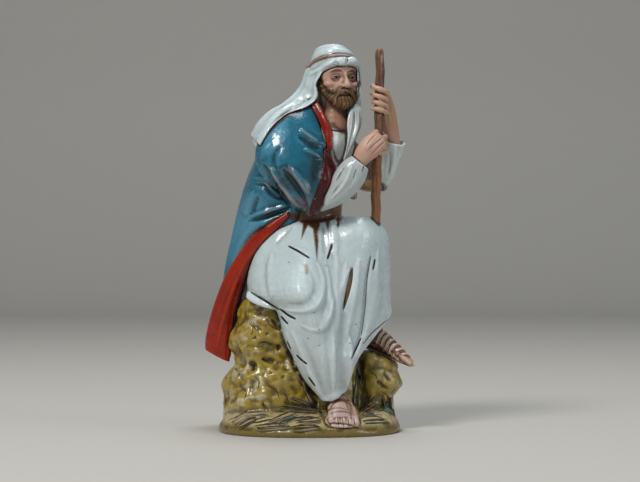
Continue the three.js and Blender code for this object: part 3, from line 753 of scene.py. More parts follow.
sleeves = fuse("sleeves", [
    cuffed(RIGHT_SLEEVE, (-0.7, 0, 0.7)),
    cuffed(LEFT_SLEEVE, (1, 0, 0.25)),
], grain=0.2, soften=3)
SLEEVE_FOLDS = [
    (-0.15, 0.4, (345, 167), (341, 175), (337, 184)),
    (0.4, 0.6, (352, 164), (348, 176), (341, 188), (331, 199)),
    (-0.15, 0.4, (357, 168), (354, 178), (347, 189)),
    (-0.15, 0.35, (342, 181), (336, 190), (329, 198)),
    (-0.2, 0.5, (389, 150), (390, 163), (388, 176)),
    (0.3, 0.6, (395, 147), (394, 160), (391, 175)),
    (-0.15, 0.4, (399, 146), (397, 157)),
]
carve(sleeves, SLEEVE_FOLDS)
BETWEEN_SLEEVES = 17
sides = points_of(sleeves)[:, 0]
brush(sleeves, sides < BETWEEN_SLEEVES, (120, 108, 94), 0.33)
brush(sleeves, sides > BETWEEN_SLEEVES, (190, 184, 168), 0.3)
SLEEVE_LINES = [
    ((344, 168), (341, 173), (338, 179)),
    ((341, 172), (336, 181)),
    ((338, 186), (333, 192)),
    ((356, 169), (353, 178)),
    ((391, 160), (389, 174)),
]
CUFF_LINES = [
    ((359.5, 151), (362.5, 158), (363.5, 166), (362, 172)),
    ((388, 133.5), (396, 138), (404.5, 142.5)),
]
like_lines("brown", 0.1, (sleeves,), SLEEVE_LINES)
like_lines("brown", 0.22, (sleeves,), CUFF_LINES)

# %% [markdown]
# ## The teal cloak and its red lining
#
# The cloak is thick cloth: broad folds run down the back and fan out at the hem. The mantle over
# his right arm is a second form on top. Both are lofts fused together. The red lining shows where
# the front edge is turned out, so that edge is a piece of its own with its own colour.

# %% Cloak
CLOAK_BACK = [
    [-12, 8.2, 19.8, 15, 9.4, -6, -0.08, -0.05],
    [-11.2, 7.4, 28, 14.2, 9.8, -8],
    [-10.6, 6.2, 36, 13, 10.4, -10],
    [-10, 5, 44, 12, 11, -14],
    [-8.6, 3.4, 52, 11.2, 11.8, -20],
    [-6.6, 2, 60, 11, 12.4, -26],
    [-4.2, 0.6, 68, 10.2, 13, -32],
    [-1.6, -1, 75.5, 8.6, 12.8, -32],
    [0.2, -1.6, 80.5, 6, 10, -32],
]
MANTLE = [
    [-0.8, -6.2, 81.6, 4.8, 4.6],
    [-3.4, -8.4, 77, 8.2, 6.4],
    [-4.4, -10.6, 71.4, 9.9, 6.8],
    [-1.2, -13.2, 65.6, 7.7, 5.4],
    [-0.3, -14.6, 61, 4.9, 4.2],
    [0.8, -15.6, 57.4, 1.8, 2.2],
]
DROOP = [
    [8.2, -4, 66, 2.6, 2.4],
    [10.4, -4.6, 62.6, 2, 1.4],
    [11.6, -5, 60.6, 0.9, 0.7],
]
LEFT_UPPER_ARM = [
    [6, 3.5, 75, 4, 5],
    [10.4, 1.6, 70.6, 4, 4.6],
    [15, -0.8, 66.2, 3.8, 4.2],
    [18.6, -2.2, 64.4, 2, 2.4],
]


def back_folds(angles, share, points):
    broad = pleats(angles, share, 7, 0.8 * (1 - share) ** 1.5, 0.2)
    return broad + pleats(angles, share, 11, 0.35 * (1 - share), -0.3)


def mantle_folds(angles, share, points):
    return pleats(angles, share, 3, 0.3, 0.35)


cloak = fuse("cloak", [
    form(CLOAK_BACK, level=True, around=56, domes=(0, 0.5), fold=back_folds),
    form(MANTLE, around=36, fold=mantle_folds),
    form(LEFT_UPPER_ARM, side=(0, 1, 0)),
    form(DROOP),
], grain=0.35, soften=3)
CLOAK_FOLDS = [
    (-1.3, 0.9, (263, 164), (269, 176), (277, 188), (285, 199), (292, 210)),
    (0.8, 0.8, (270, 168), (279, 184), (290, 199), (300, 210)),
    (-1.2, 1.2, (284, 170), (293, 184), (303, 199), (307, 209)),
    (0.7, 0.9, (292, 168), (302, 182), (309, 196)),
    (0.6, 0.7, (255, 178), (266, 180), (271, 189), (284, 195)),
    (-0.8, 0.6, (256, 184), (264, 187), (272, 195), (284, 201)),
    (0.5, 0.6, (299, 129), (310, 136), (319, 142)),
    (-0.6, 0.7, (297, 135), (308, 143), (320, 149)),
    (0.5, 0.7, (303, 149), (312, 153), (321, 158)),
    (0.8, 0.7, (249, 217), (262, 213), (276, 209), (290, 204)),
    (-1.3, 0.8, (249, 221), (262, 218), (276, 213), (292, 208)),
    (0.5, 0.9, (271, 142), (265, 151), (261, 160)),
    (-0.5, 0.8, (280, 146), (273, 158), (276, 170)),
    (0.5, 0.9, (254, 190), (248, 205), (246, 216)),
    (-0.6, 1.0, (258, 196), (253, 208), (251, 216)),
    (0.5, 0.9, (268, 226), (254, 242), (243, 262)),
    (-0.5, 0.9, (262, 224), (247, 243), (238, 262)),
    (0.4, 0.9, (251, 226), (240, 246), (232, 266)),
]
carve(cloak, CLOAK_FOLDS)

# %% Cloak: rubbed ridges, painted shade in the folds and painted light
RUBBED_RIDGES = [
    (0.42, (271, 170), (279, 185), (290, 200), (299, 209)),
    (0.34, (299, 129), (310, 136), (318, 142)),
    (0.34, (304, 182), (309, 190), (312, 198)),
    (0.36, (249, 217), (262, 213), (276, 209), (290, 204)),
    (0.2, (303, 149), (312, 153), (320, 157)),
    (0.24, (262, 181), (269, 186), (277, 193)),
    (0.24, (322, 150), (322, 166), (320, 182), (314, 198)),
]
mark_lines(cloak, RUBBED_RIDGES, (160, 128, 110), 0.7, taper=1)
# Painted shade in a deep teal, for the folds and the cloth beside the chest.
TEAL_FOLD_SHADE = (10, 32, 34)
CHEST_SHADE = (4, (319, 148), (317, 168), (308, 198))
soft_lines(cloak, [CHEST_SHADE], TEAL_FOLD_SHADE, 0.7, taper=0.3)
# Painted shade in the mantle's deepest fold, and in dark purple at its lower end.
MANTLE_SHADES = [
    ((8, 28, 36), 0.8, (275, 168), (287, 163), (300, 182), (308, 195), (306, 207), (286, 188)),
    ((74, 42, 50), 0.8, (292, 198), (311, 197), (313, 219), (303, 216)),
]
mark_areas(cloak, MANTLE_SHADES)
MANTLE_RIDGES = [
    (0.45, (268, 166), (277, 181), (290, 197), (302, 212)),
    (0.45, (288, 165), (298, 180), (309, 194)),
]
mark_lines(cloak, MANTLE_RIDGES, (160, 134, 124), 0.6, taper=0.2)
# Painted shade along the valleys of the folds.
DARK_FOLDS = [
    (0.8, (262, 164), (268, 176), (276, 188), (284, 199), (291, 209)),
    (1.7, (284, 170), (293, 184), (304, 201)),
    (0.5, (256, 184), (264, 187), (272, 195), (284, 201)),
    (0.6, (249, 221), (262, 218), (276, 213), (292, 208)),
    (0.5, (324, 122), (327, 148), (324, 176), (316, 199)),
    (1.6, (314, 150), (316, 168), (312, 186)),
    (0.5, (298, 135), (309, 142), (320, 149)),
]
mark_lines(cloak, DARK_FOLDS, TEAL_FOLD_SHADE, 0.75, taper=1)
# Painted light on the cloth that faces the lamp, on the left and at the shoulder.
LIT_CLOTH = [
    (5, (256, 190), (250, 215), (243, 245), (232, 272)),
    (2.4, (286, 120), (274, 138), (266, 156)),
]
soft_lines(cloak, LIT_CLOTH, (86, 148, 174), 0.7)
tell_paint(cloak)

# %% Cloak: painted shade at the waist under the sleeves, on the hidden edge beside the band and at the neck
CLOAK_AREAS = [
    # Painted shade in brown on the left upper arm, under the sleeves.
    ((84, 52, 24), 1, (338, 130), (374, 130), (374, 204), (338, 204)),
    ((170, 174, 168), 0.9, (374, 160), (388, 160), (388, 204), (374, 204)),
    # Brown wash and painted shade in the gap beside the red band.
    ((74, 44, 20), 0.9, (250, 266), (244, 284), (238, 302), (233, 322), (231, 356),
     (248, 356), (264, 300), (264, 262)),
]
mark_areas(cloak, CLOAK_AREAS)
CUFF_SHADOW = (1.4, (286, 214), (296, 217), (306, 216))
mark_lines(cloak, [CUFF_SHADOW], (70, 38, 16), taper=0.4)
points = points_of(cloak)
droop_tip = (points[:, 0] > 9.2) & (points[:, 2] < 65) & (points[:, 1] < -1)
brush(cloak, droop_tip, (160, 110, 54), 0.95)
# Painted shade on the collar under the scarf's end.
SHADE_UNDER_DRAPE = ((94, 64, 42), 0.8, (306, 100), (322, 100), (318, 110), (308, 109))
mark_areas(cloak, [SHADE_UNDER_DRAPE])
CAPE_SHADOW = (0.62, (310, 107), (298, 111.5), (285, 117), (274, 126), (264, 138), (257, 147))
mark_lines(cloak, [CAPE_SHADOW], (58, 38, 28), 0.95, taper=0.2)
tell_paint(cloak)

# %% Lining: turned edge, elbow and collar
TURNED_EDGE = [
    [-5.6, -8.8, 56, 0.7, 0.8],
    [-11.3, -7.4, 51.4, 1.9, 1.8],
    [-15.5, -5.2, 46.4, 2.2, 2],
    [-19.4, -2.2, 39.4, 2.8, 2.2],
    [-22.3, 0.6, 30.8, 3.4, 2.4],
    [-23.9, 2.8, 23, 3.9, 2.4],
    [-24.2, 3, 20.2, 3.6, 2],
]
ELBOW_STRIP = [
    ((324, 148), (331, 157), -14, -14),
    ((323, 163), (336, 167), -14, -14),
    ((321, 176), (335, 178), -14.6, -14.6),
    ((318, 188), (331, 191), -15.4, -15.4),
    ((313, 201), (324, 204), -16, -16),
    ((308, 216), (313, 216), -16, -16),
]
COLLAR_STRIP = [
    ((307, 99), (316, 98), -8.6, -9.6),
    ((311, 107), (320, 105), -9.6, -10.4),
    ((318, 120), (327, 119), -11, -12),
    ((323, 132), (331.5, 131), -12, -12.6),
    ((326, 143), (332, 145), -13, -13),
    ((327, 152), (330, 153), -13, -13),
]
lining = fuse("lining", [
    form(TURNED_EDGE, side=(0.85, -0.5, 0), domes=(1, 0.12)),
    strip(ELBOW_STRIP, onto=(cloak,), lift=0.3, puff=0.3, thick=1.6),
    strip(COLLAR_STRIP, onto=(cloak, tunic), lift=0.35, puff=0.3, thick=1.6),
], grain=0.24, soften=3)
LINING_FOLDS = [
    (-0.25, 0.7, (281, 226), (262, 246), (246, 268), (236, 295), (229, 330), (226, 354)),
    (0.4, 0.8, (276, 228), (255, 250), (238, 278), (226, 310), (217, 345)),
    (-0.2, 0.8, (240, 268), (226, 298), (217, 326), (212, 346)),
    (0.3, 0.5, (327, 165), (329, 180), (324, 194)),
]
carve(lining, LINING_FOLDS)
CORNER_DROP = 2.4
points = points_of(lining)
corner = fade_in(points[:, 2], 25, -5) * fade_in(points[:, 0], -27, 6.5)
points[:, 2] -= corner * CORNER_DROP
set_points(lining, points)

# %% Lining: paint, painted shade, and dark lines along its edges
HEM_SEAM = ("dark", 0.5, (287, 341), (295, 359), (303.6, 378), (313, 393.5), (318.6, 399))
painted_lines((tunic,), [HEM_SEAM])
# Dark wash and painted shadow along the red band's edge, beside the robe.
BAND_EDGE_WASH_AND_SHADOW = (
    "dark", 0.5, (293, 219), (264, 246), (250, 267), (243, 284), (238, 301), (233, 320), (231, 354))
painted_lines((lining,), [BAND_EDGE_WASH_AND_SHADOW], taper=0.15)
ELBOW_SHADE = ((54, 14, 20), 0.95, (300, 146), (345, 146), (345, 222), (300, 222))
mark_areas(lining, [ELBOW_SHADE])
ELBOW_LIGHT = (0.4, (331, 168), (331, 182), (325, 195))
mark_lines(lining, [ELBOW_LIGHT], (140, 24, 28), 0.7)
LINING_AREAS = [
    ((118, 20, 12), 0.8, (304, 96), (336, 96), (336, 146), (304, 146)),
    # Painted shade on the collar's top, under the scarf's end.
    ((96, 54, 30), 0.7, (304, 96), (324, 96), (324, 110), (304, 110)),
    ((110, 12, 16), 0.5, (278, 205), (300, 205), (300, 222), (278, 236), (270, 236)),
]
mark_areas(lining, LINING_AREAS)
tell_paint(lining)

# %% [markdown]
# ## Staff and hands
#
# The staff is a rough branch, so it starts as a limb with an uneven outline and gets shallow
# grain. Each finger bends round it on a circle of its own, which keeps the grip closed from every
# side.

# %% Staff
STAFF_DIAMETER = 2.5
STAFF_TOP = 98.6
STAFF_LINE = np.array([
    [17.1, -7.4, 53.6],
    [17.2, -10.8, 66],
    [17.6, -12.6, 76],
    [17.95, -13, 88],
    [18, -13, STAFF_TOP - 1.2],
])
STAFF_WIDTHS = [0.96, 1.02, 0.97, 0.95, 0.86]
STAFF_RADIUS = STAFF_DIAMETER / 2


def staff_at(z):
    """The middle of the staff at a height."""
    heights = STAFF_LINE[:, 2]
    return np.array([np.interp(z, heights, STAFF_LINE[:, k]) for k in (0, 1)] + [z])


def bark(angles, share, points):
    knots = 0.12 * np.sin(points[:, 2] * 0.9 + np.radians(angles))
    return knots + 0.08 * np.sin(np.radians(angles) * 5 + points[:, 2] * 0.5)


staff = fuse("staff", [form(
    [[*spot, STAFF_RADIUS * w, STAFF_RADIUS * w] for spot, w in zip(STAFF_LINE, STAFF_WIDTHS)],
    domes=(0.2, 1), fold=bark,
)], grain=0.21, soften=1)
heights = points_of(staff)[:, 2]
brush(staff, fade_in(heights, 76, -8), (146, 88, 46), 0.8)
BARK_LINES = ((90, 97, 0.35), (78, 88, -0.3), (60, 70, 0.3), (55, 63, -0.3))
for low, high, x in BARK_LINES:
    x0, x1 = staff_at(low)[0] + x, staff_at(high)[0] + x
    line = [(x0, low + 0.6), ((x0 + x1) / 2, (low + high) / 2 + 0.8), (x1, high + 0.9)]
    mark_line(staff, 0.16, line, (52, 32, 24), 0.7)
tell_paint(staff)

# %% Fingers round the staff
FINGER_RADIUS = 0.8
KNUCKLES = 6


def finger(z, start, end, drop, size=1.0):
    """A finger bent round the staff at height z, from angle start to angle end."""
    rows = []
    for i in range(KNUCKLES + 1):
        t = i / KNUCKLES
        x, y, _ = staff_at(z)
        angle = radians(start + (end - start) * t)
        reach = STAFF_RADIUS + FINGER_RADIUS * 0.7
        radius = FINGER_RADIUS * size * (1 - 0.18 * t) * (1 + 0.09 * cos(t * pi * 4))
        rows.append([x + reach * cos(angle), y + reach * sin(angle), z - drop * t,
                     radius, radius])
    return form(rows, side=(0, 0, 1), around=16, domes=(0, 1))


print("a finger bends in", KNUCKLES, "steps")

# %% Both hands
LEFT_PALM = [
    [21.8, -6.6, 74.4, 1.8, 1.6],
    [20.9, -8.2, 78.4, 2.2, 1.6],
    [20.1, -9.8, 82, 2.3, 1.7],
    [19.2, -11.4, 85.8, 1.9, 1.6],
]
LEFT_THUMB = [
    [19.6, -10.4, 82.4, 0.9, 0.9],
    [18, -10.8, 84.6, 0.8, 0.8],
    [16.4, -11.2, 86, 0.7, 0.7],
]
RIGHT_PALM = [
    [12.6, -15.8, 69.4, 1.9, 1.7],
    [14, -16, 71.4, 2.5, 1.9],
    [15.8, -16, 73.3, 2.9, 2],
    [17.5, -15.4, 74.8, 2.5, 1.6],
]
RIGHT_THUMB = [
    [14.6, -15.4, 73.6, 1, 1],
    [15.6, -15.2, 75.6, 0.9, 0.9],
    [17, -14.8, 76.9, 0.8, 0.8],
]
hand_forms = [
    form(LEFT_PALM, side=(0.8, 0.6, 0)),
    form(LEFT_THUMB),
    egg((19.5, -12.1, 84.4), (1.05, 1.7, 3)),
    form(RIGHT_PALM, side=(-0.7, 0, 0.7)),
    form(RIGHT_THUMB),
]
for i, z in enumerate((86.9, 85.1, 83.5, 82)):
    hand_forms.append(finger(z, -5, -172 + i * 8, -1.9 + 0.25 * i, 0.95))
for i, z in enumerate((75.4, 74.1, 72.8, 71.6)):
    hand_forms.append(finger(z, -80, 70 - i * 8, -0.9, 0.92))
hands = fuse("hands", hand_forms, grain=0.17, soften=1)
HAND_CREASES = [
    (-0.2, 0.24, (383.5, 136.5), (377, 142), (369, 150)),
    (-0.2, 0.24, (385, 141), (379, 147), (371, 155)),
    (-0.2, 0.24, (385, 147), (380, 152), (374, 157)),
    (-0.18, 0.24, (377, 133), (372, 138), (366, 145)),
    (-0.12, 0.24, (389, 96), (391, 108), (393, 122)),
    (-0.12, 0.24, (384, 104), (387, 115), (389, 127)),
    (0.25, 0.4, (372, 141), (366, 151)),
]
carve(hands, HAND_CREASES)
sides, _, heights = points_of(hands).T
brush(hands, fade_in(heights, 76.5, 3) + (sides > 19.8), (178, 138, 106), 0.5)
FINGER_NAILS = [(370.4, 86), (370.8, 94), (373.2, 100), (373.8, 106)]
for x, y in FINGER_NAILS:
    nail_line = (0.42, (x - 0.9, y - 0.4), (x + 1.2, y + 0.4))
    mark_lines(hands, [nail_line], (88, 52, 36), 0.7, taper=0.1)
tell_paint(hands)

# %% [markdown]
# ## The head
#
# A calm, general face on the proportions that drawing books teach: the eyes lie at half the
# head's height, the nose ends halfway from brow to chin, and one eye's width lies between the
# eyes. It could be sculpted freely. Built in the head's own frame, both its halves come from the
# same loop, and its turn is one number.

# %% The head's own frame
HEAD_CENTRE = (7, -6, 91.6)
HEAD_TURN = 22
HEAD_C, HEAD_S = cos(radians(HEAD_TURN)), sin(radians(HEAD_TURN))


def head_point(x, y, z):
    """x to his left, y to the back, z up, from the middle of the skull."""
    cx, cy, cz = HEAD_CENTRE
    return [cx + HEAD_C * x - HEAD_S * y, cy + HEAD_S * x + HEAD_C * y, cz + z]


def in_head(points):
    """Points in the head's frame."""
    x, y, z = (points - HEAD_CENTRE).T
    return np.stack([HEAD_C * x + HEAD_S * y, -HEAD_S * x + HEAD_C * y, z], axis=1)


def head_egg(x, y, z, a, b, c):
    return egg(head_point(x, y, z), (a, b, c), HEAD_TURN)


def head_limb(rows, **options):
    return form([[*head_point(*row[:3]), *row[3:]] for row in rows], **options)


def head_form(rows, **options):
    """Level sections in the head's frame, each with a fall towards the nape."""
    sections = []
    for x, y, z, a, b, *fall in rows:
        f = fall[0] if fall else 0
        sections.append([*head_point(x, y, z), a, b, HEAD_TURN, f * HEAD_S, -f * HEAD_C])
    return form(sections, level=True, **options)


print("the middle of the head's front lies at", [round(v, 1) for v in head_point(0, -6, 0)])

# %% Skull, brow, nose, cheeks and mouth
EYE_LINE = -0.45
EYE_SPREAD = 2.2
BROW_LINE = 1.15
NOSE_BASE = -3.15
MOUTH_LINE = -4.75
EYE_RADIUS = 1.08
SIDES = (-1, 1)

head_forms = [
    head_form([
        [-0.2, -3, -7, 2.4, 2.4],
        [-0.2, -2, -5, 3.9, 4.1],
        [-0.2, -0.9, -2.4, 4.9, 5.1],
        [-0.2, -0.2, 0.6, 5.4, 5.8],
        [-0.2, 0, 3.4, 5, 5.8],
        [0, 0.5, 6, 3.4, 4.4],
    ], around=36, domes=(0.5, 0.3)),
    head_limb([
        [0, -5.7, BROW_LINE, 0.62, 0.5],
        [0, -6.15, -0.25, 0.55, 0.6],
        [0, -6.9, -1.55, 0.7, 0.7],
        [0, -7.2, -2.5, 0.95, 0.8],
    ], around=20),
    head_egg(0, -5.5, MOUTH_LINE + 0.32, 1.4, 0.5, 0.34),
    head_egg(0, -5.5, MOUTH_LINE - 0.35, 1.2, 0.5, 0.38),
    head_egg(0, -5, -6.6, 1.5, 1.2, 1.2),
    form([
        [5.8, -6.7, 75.8, 3.4, 3.3],
        [6.3, -6.8, 78.4, 4.1, 3.9],
        [6.4, -6.3, 80.6, 3.5, 3.4],
        [6.6, -5.8, 83, 2.9, 3],
        [6.8, -6, 86, 3.2, 3.2],
    ]),
]
for side in SIDES:
    head_forms.append(head_egg(0.9 * side, -6.45, NOSE_BASE + 0.5, 0.6, 0.75, 0.5))
    head_forms.append(head_egg(3.1 * side, -3.6, -2, 1.9, 1.8, 1.2))
    head_forms.append(head_egg(2.1 * side, -3.4, -3.8, 2.3, 1.9, 2.2))
    head_forms.append(head_limb([
        [0.5 * side, -5.75, BROW_LINE + 0.1, 0.4, 0.4],
        [1.7 * side, -5.5, BROW_LINE + 0.5, 0.55, 0.5],
        [3.2 * side, -4.7, BROW_LINE + 0.2, 0.5, 0.5],
        [4.3 * side, -3.6, BROW_LINE - 0.5, 0.35, 0.4],
    ], side=(0, 0, 1), around=16))
head = fuse("head", head_forms, grain=0.17, soften=3)

# %% Eye sockets, eyes and lids
points = points_of(head)
local = in_head(points)
push = np.zeros(len(points))
for side in SIDES:
    socket = np.array([EYE_SPREAD * side, -5.6, EYE_LINE + 0.1])
    gap = norm((local - socket) / [1.6, 1.2, 1.0], axis=1)
    push -= 0.95 * np.exp(-gap ** 2)
set_points(head, points + normals_of(head) * push[:, None])

eye_forms = [head]
for side in SIDES:
    centre = np.array([EYE_SPREAD * side, -4.3, EYE_LINE])
    eye_forms.append(head_egg(*centre, EYE_RADIUS, EYE_RADIUS, EYE_RADIUS * 0.8))
    for lift, width in ((0.4, 0.24), (-0.48, 0.15)):
        lid = []
        for degree in (-62, -32, 0, 32, 62):
            a = radians(degree)
            reach = EYE_RADIUS * 1.03
            lid.append([centre[0] + reach * sin(a), centre[1] - reach * cos(a) * 0.9,
                        EYE_LINE + lift * cos(a * 1.4), width, width])
        eye_forms.append(head_limb(lid, side=(0, 0, 1), around=12))
head = fuse("head", eye_forms, grain=0.155, soften=1)

# %% Creases and paint on the face
local = in_head(points_of(head))
face_spots = local[:, [0, 2]]
in_front = fade_in(local[:, 1], -2.5, -1.5)


def face_line(width, line, taper=0.5):
    """A stroke on the face, drawn in the head's own front view."""
    return stroke_mask(face_spots, line, width, taper) * in_front


depth = np.zeros(len(local))
for side in SIDES:
    depth -= 0.24 * face_line(0.3, [(1.15 * side, -2.6), (1.9 * side, -3.4), (2.3 * side, -4.3)])
    depth -= 0.14 * face_line(0.28, [(1.2 * side, -1.25), (2.2 * side, -1.6), (3.2 * side, -1.2)])
set_points(head, points_of(head) + normals_of(head) * depth[:, None])


def on_face(x, z, y=-5.35):
    """Where a place on the face shows in the front view."""
    return tuple(front_view(np.array([head_point(x, y, z)]))[0])


print("the nose ends at", on_face(0, NOSE_BASE), "in the front view")

# %% Eyes, brows, nostrils and lips
EYE_LINES = [
    ("cream", 0.4, [(-0.9, -0.1), (0, -0.02), (0.9, -0.1)], 0.8),
    ("dark", 0.52, [(-0.36, 0.02), (0, 0.03), (0.36, 0.02)], 0.4),
    ("dark", 0.26, [(-1.15, -0.12), (-0.45, 0.22), (0.45, 0.22), (1.15, -0.14)], 0.5),
    ("brown", 0.14, [(-0.85, -0.28), (0, -0.34), (0.85, -0.28)], 0.5),
]
for side in SIDES:
    eye_x = EYE_SPREAD * side
    across, up = local[:, 0] - eye_x, local[:, 2] - EYE_LINE
    socket_shade = np.exp(-((across / 1.6) ** 2 + ((up - 0.15) / 1.05) ** 2) ** 2) * in_front
    brush(head, socket_shade, (104, 70, 52), 0.6)
    for kind, width, line, taper in EYE_LINES:
        places = [on_face(eye_x + x, EYE_LINE + z) for x, z in line]
        painted_line(kind, width, places, (head,), taper)
    brow_line = [(0.7, BROW_LINE - 0.2), (2.2, BROW_LINE + 0.2), (3.9, BROW_LINE - 0.5)]
    brow = face_line(0.42, [(x * side, z) for x, z in brow_line], taper=0.7)
    brush(head, unit(brow * 2.4 - 0.5), (84, 54, 38), 0.85)
    # Painted shade in the nostrils.
    nostril_line = [(0.4 * side, NOSE_BASE - 0.15), (0.75 * side, NOSE_BASE - 0.1)]
    nostril_shade = face_line(0.2, nostril_line, taper=0.1)
    brush(head, unit(nostril_shade * 3 - 1), (84, 46, 36), 0.8)
lips = ((local[:, 0] / 1.4) ** 2 + ((local[:, 2] - MOUTH_LINE) / 0.65) ** 2 < 1) * in_front
brush(head, lips, (104, 64, 50), 0.85)
tell_paint(head)

# %% Beard and moustache
beard_forms = [head_egg(0, -4.7, -6.5, 2.5, 2, 2.1)]
for side in SIDES:
    beard_forms.append(head_limb([
        [1.4 * side, -4.5, -6.4, 1.6, 1.5],
        [3 * side, -3.6, -4.9, 1.5, 1.5],
        [4.2 * side, -1.9, -2.6, 1.1, 1.3],
        [4.8 * side, -1.2, 0, 0.7, 1],
    ], around=20))
    beard_forms.append(head_limb([
        [0.1 * side, -6.5, -3.85, 0.5, 0.5],
        [1.1 * side, -6.3, -4.1, 0.66, 0.6],
        [2 * side, -5.6, -4.75, 0.62, 0.6],
        [2.6 * side, -4.9, -5.9, 0.5, 0.5],
    ], side=(0, 0, 1), around=16))
beard = fuse("beard", beard_forms, grain=0.135, soften=2)


def comb(piece, spacing, depth):
    """Locks and fine hair: waves across the beard that lean with the height."""
    points = points_of(piece)
    x, y, z = in_head(points).T
    fan = np.degrees(np.arctan2(x, -(z + 1.5) + 2.5))
    locks = np.sin(fan / (spacing * 3.1) + 2.2 * np.sin(z * 1.4 + x))
    waves = np.sin(fan / spacing + 1.6 * np.sin(z * 1.9)) + 0.6 * np.sin(fan / spacing * 1.7 + 2 * z)
    set_points(piece, points + normals_of(piece) * (waves * depth + locks * depth)[:, None])
    return unit(waves * 0.6 + locks * 0.5)


streaks = comb(beard, spacing=1.1, depth=0.05)
brush(beard, streaks, (164, 146, 112), 0.5)
beard_x, beard_y, beard_z = in_head(points_of(beard)).T
brush(beard, fade_in(np.abs(beard_x), 2.4, 1.6), (92, 70, 48), 0.5)
moustache = fade_in(beard_z, -6, 1.2) * (beard_y < -4.6)
brush(beard, moustache, (134, 106, 66), 0.4)
tell_paint(beard)

# %% [markdown]
# ## The head-cloth
#
# A square cloth lies over the head and is held by a cord. It puffs up above the cord, rolls on
# the brow, falls beside the face and on the chest, and lies wide over the right shoulder. One
# sheet could be draped over the head, but each fall has a shape of its own, so lofts make the
# hood and the roll, strips make the ends, and the remesh makes one cloth of them.

# %% Hood, brow roll and knots
HOOD = [
    [1.4, 2, -12, 4.4, 3.4],
    [0, 3.4, -6, 5.8, 4.4],
    [0, 3, -1.6, 6.2, 4.9],
    [-0.5, 1.4, 1.6, 6.1, 6.2, 0.1],
    [-0.8, 0.8, 3.3, 5.7, 6.5, 0.26],
    [-0.8, 0.8, 4.2, 5.55, 6.35, 0.27],
    [-0.9, 0.8, 5.1, 5.35, 6.1, 0.27],
    [-1.1, 0.8, 5.9, 4.9, 5.65, 0.22],
    [-1.3, 0.8, 6.5, 4.3, 5.05, 0.18],
]
ROLL = [
    [0.2, -7, 92, 0.5, 0.6],
    [2, -9.6, 92.8, 0.85, 0.8],
    [3.8, -11.1, 93.8, 1, 0.85],
    [6, -12, 94.8, 1.15, 0.9],
    [8.6, -11.8, 95.2, 1.2, 0.9],
    [11, -10.4, 95, 1.05, 0.9],
    [12.6, -8.2, 94.1, 0.85, 0.8],
    [13, -6.6, 92.4, 0.8, 0.8],
]
KNOTS = [
    [[6.5, -12.4, 95.1, 0.5, 0.5], [8, -12.6, 95.1, 1.15, 0.85], [9.4, -12.2, 94.6, 0.55, 0.5]],
    [[9.8, -11.8, 95.7, 0.5, 0.5], [11.1, -11.2, 95.4, 1.05, 0.85], [12.6, -9.8, 94.5, 0.6, 0.6]],
]
TEMPLE = [
    [12, -5.6, 94.2, 0.8, 2.6, 20],
    [12.3, -5.4, 91, 0.85, 3, 16],
    [12.4, -5.2, 87, 0.85, 3.2, 12],
    [12.2, -5, 83, 0.9, 3.4, 8],
    [11.8, -4.8, 79, 0.9, 3.6, 4],
    [11.4, -4.6, 76, 0.8, 3.6, 0],
]
print("the brow roll has", len(ROLL), "sections and", len(KNOTS), "knots")

# %% Ends on the shoulder, the chest and the back
SHOULDER_END = [
    ((306.4, 67), (323.5, 69.5), -4.6, -11.6),
    ((304, 74), (319.5, 77), -4, -11.8),
    ((301, 83), (316, 84), -3.4, -11),
    ((297, 90), (317, 92), -3.4, -10.6),
    ((290, 97), (316, 99.5), -4.4, -11),
    ((281, 104), (307, 106.5), -5.4, -11.4),
    ((271, 109.5), (297, 110.5), -5.4, -12),
    ((263, 116), (287, 114), -4.8, -12),
    ((257, 123), (278, 121), -4, -11.6),
    ((253, 130), (269, 131), -3, -11),
    ((250.5, 135), (260.5, 146), -2, -9),
]
CHEST_END = [
    ((356.5, 62), (361.5, 66), -9.8, -7.6),
    ((357.5, 79), (362.5, 78), -9.6, -7.4),
    ((356.5, 95), (360, 93), -9.4, -7.6),
    ((353.5, 105), (359.5, 103), -9.6, -8),
    ((349, 113), (361.5, 112), -11, -9.4),
    ((347, 124), (361.5, 124), -12, -10.4),
    ((347.5, 137), (357, 137), -12.8, -11.6),
    ((346, 149), (351.5, 149), -13.4, -12.4),
    ((343, 160), (345.5, 160), -13.8, -13.2),
]
BACK_END = [
    [-5.9, 2, 74.6, 8, 8.9, -32, 0.1],
    [-6.3, 2, 76.8, 8.3, 9.2, -32, 0.1],
    [-5, 2.2, 80, 8.2, 8.8, -32, 0.1],
    [-3.9, 2, 82.4, 7.4, 8.2, -32, 0.1],
    [-1.8, 1.6, 84.1, 6, 7.4, -32],
    [-0.2, 1, 86, 5.2, 6.6, -32],
    [1.6, 0, 89, 4.8, 5.6, -16],
    [3.8, -1.4, 92, 4.6, 4.8, 0],
]


def cape_folds(angles, share, points):
    return pleats(angles, share, 5, 0.35 * (1 - share)) + pleats(angles, share, 11, 0.25 * (1 - share))


print("the end on the shoulder has", len(SHOULDER_END), "rows")

# %% Head-cloth in one skin, pressed into the cloak
cloth_forms = [
    head_form(HOOD, around=40, domes=(0, 0.42)),
    form(ROLL, side=(0, 0, 1), around=16),
    form(BACK_END, level=True, around=56, domes=(0, 0.5), fold=cape_folds),
    strip(SHOULDER_END, onto=(cloak, lining), lift=0.5, puff=0.7, thick=2.4, across=14),
    strip(CHEST_END, onto=(tunic, cloak), lift=0.4, puff=0.4, thick=1.4),
]
cloth_forms += [form(knot, side=(0, 0, 1), around=16) for knot in KNOTS]
cloth_forms.append(form(TEMPLE[::-1], level=True, domes=(0.4, 0.4)))
head_cloth = fuse("head_cloth", cloth_forms, grain=0.22, soften=2)
PRESS_CENTRE, PRESS_SIZE, PRESS_WAY = (-10.7, 77), (2, 4.5), (0.8, 0, -0.4)
points = points_of(cloak)
gap = norm((points[:, 1:] - PRESS_CENTRE) / PRESS_SIZE, axis=1)
points += np.outer(np.exp(-gap ** 2) * (points[:, 0] < -2), PRESS_WAY)
set_points(cloak, points)

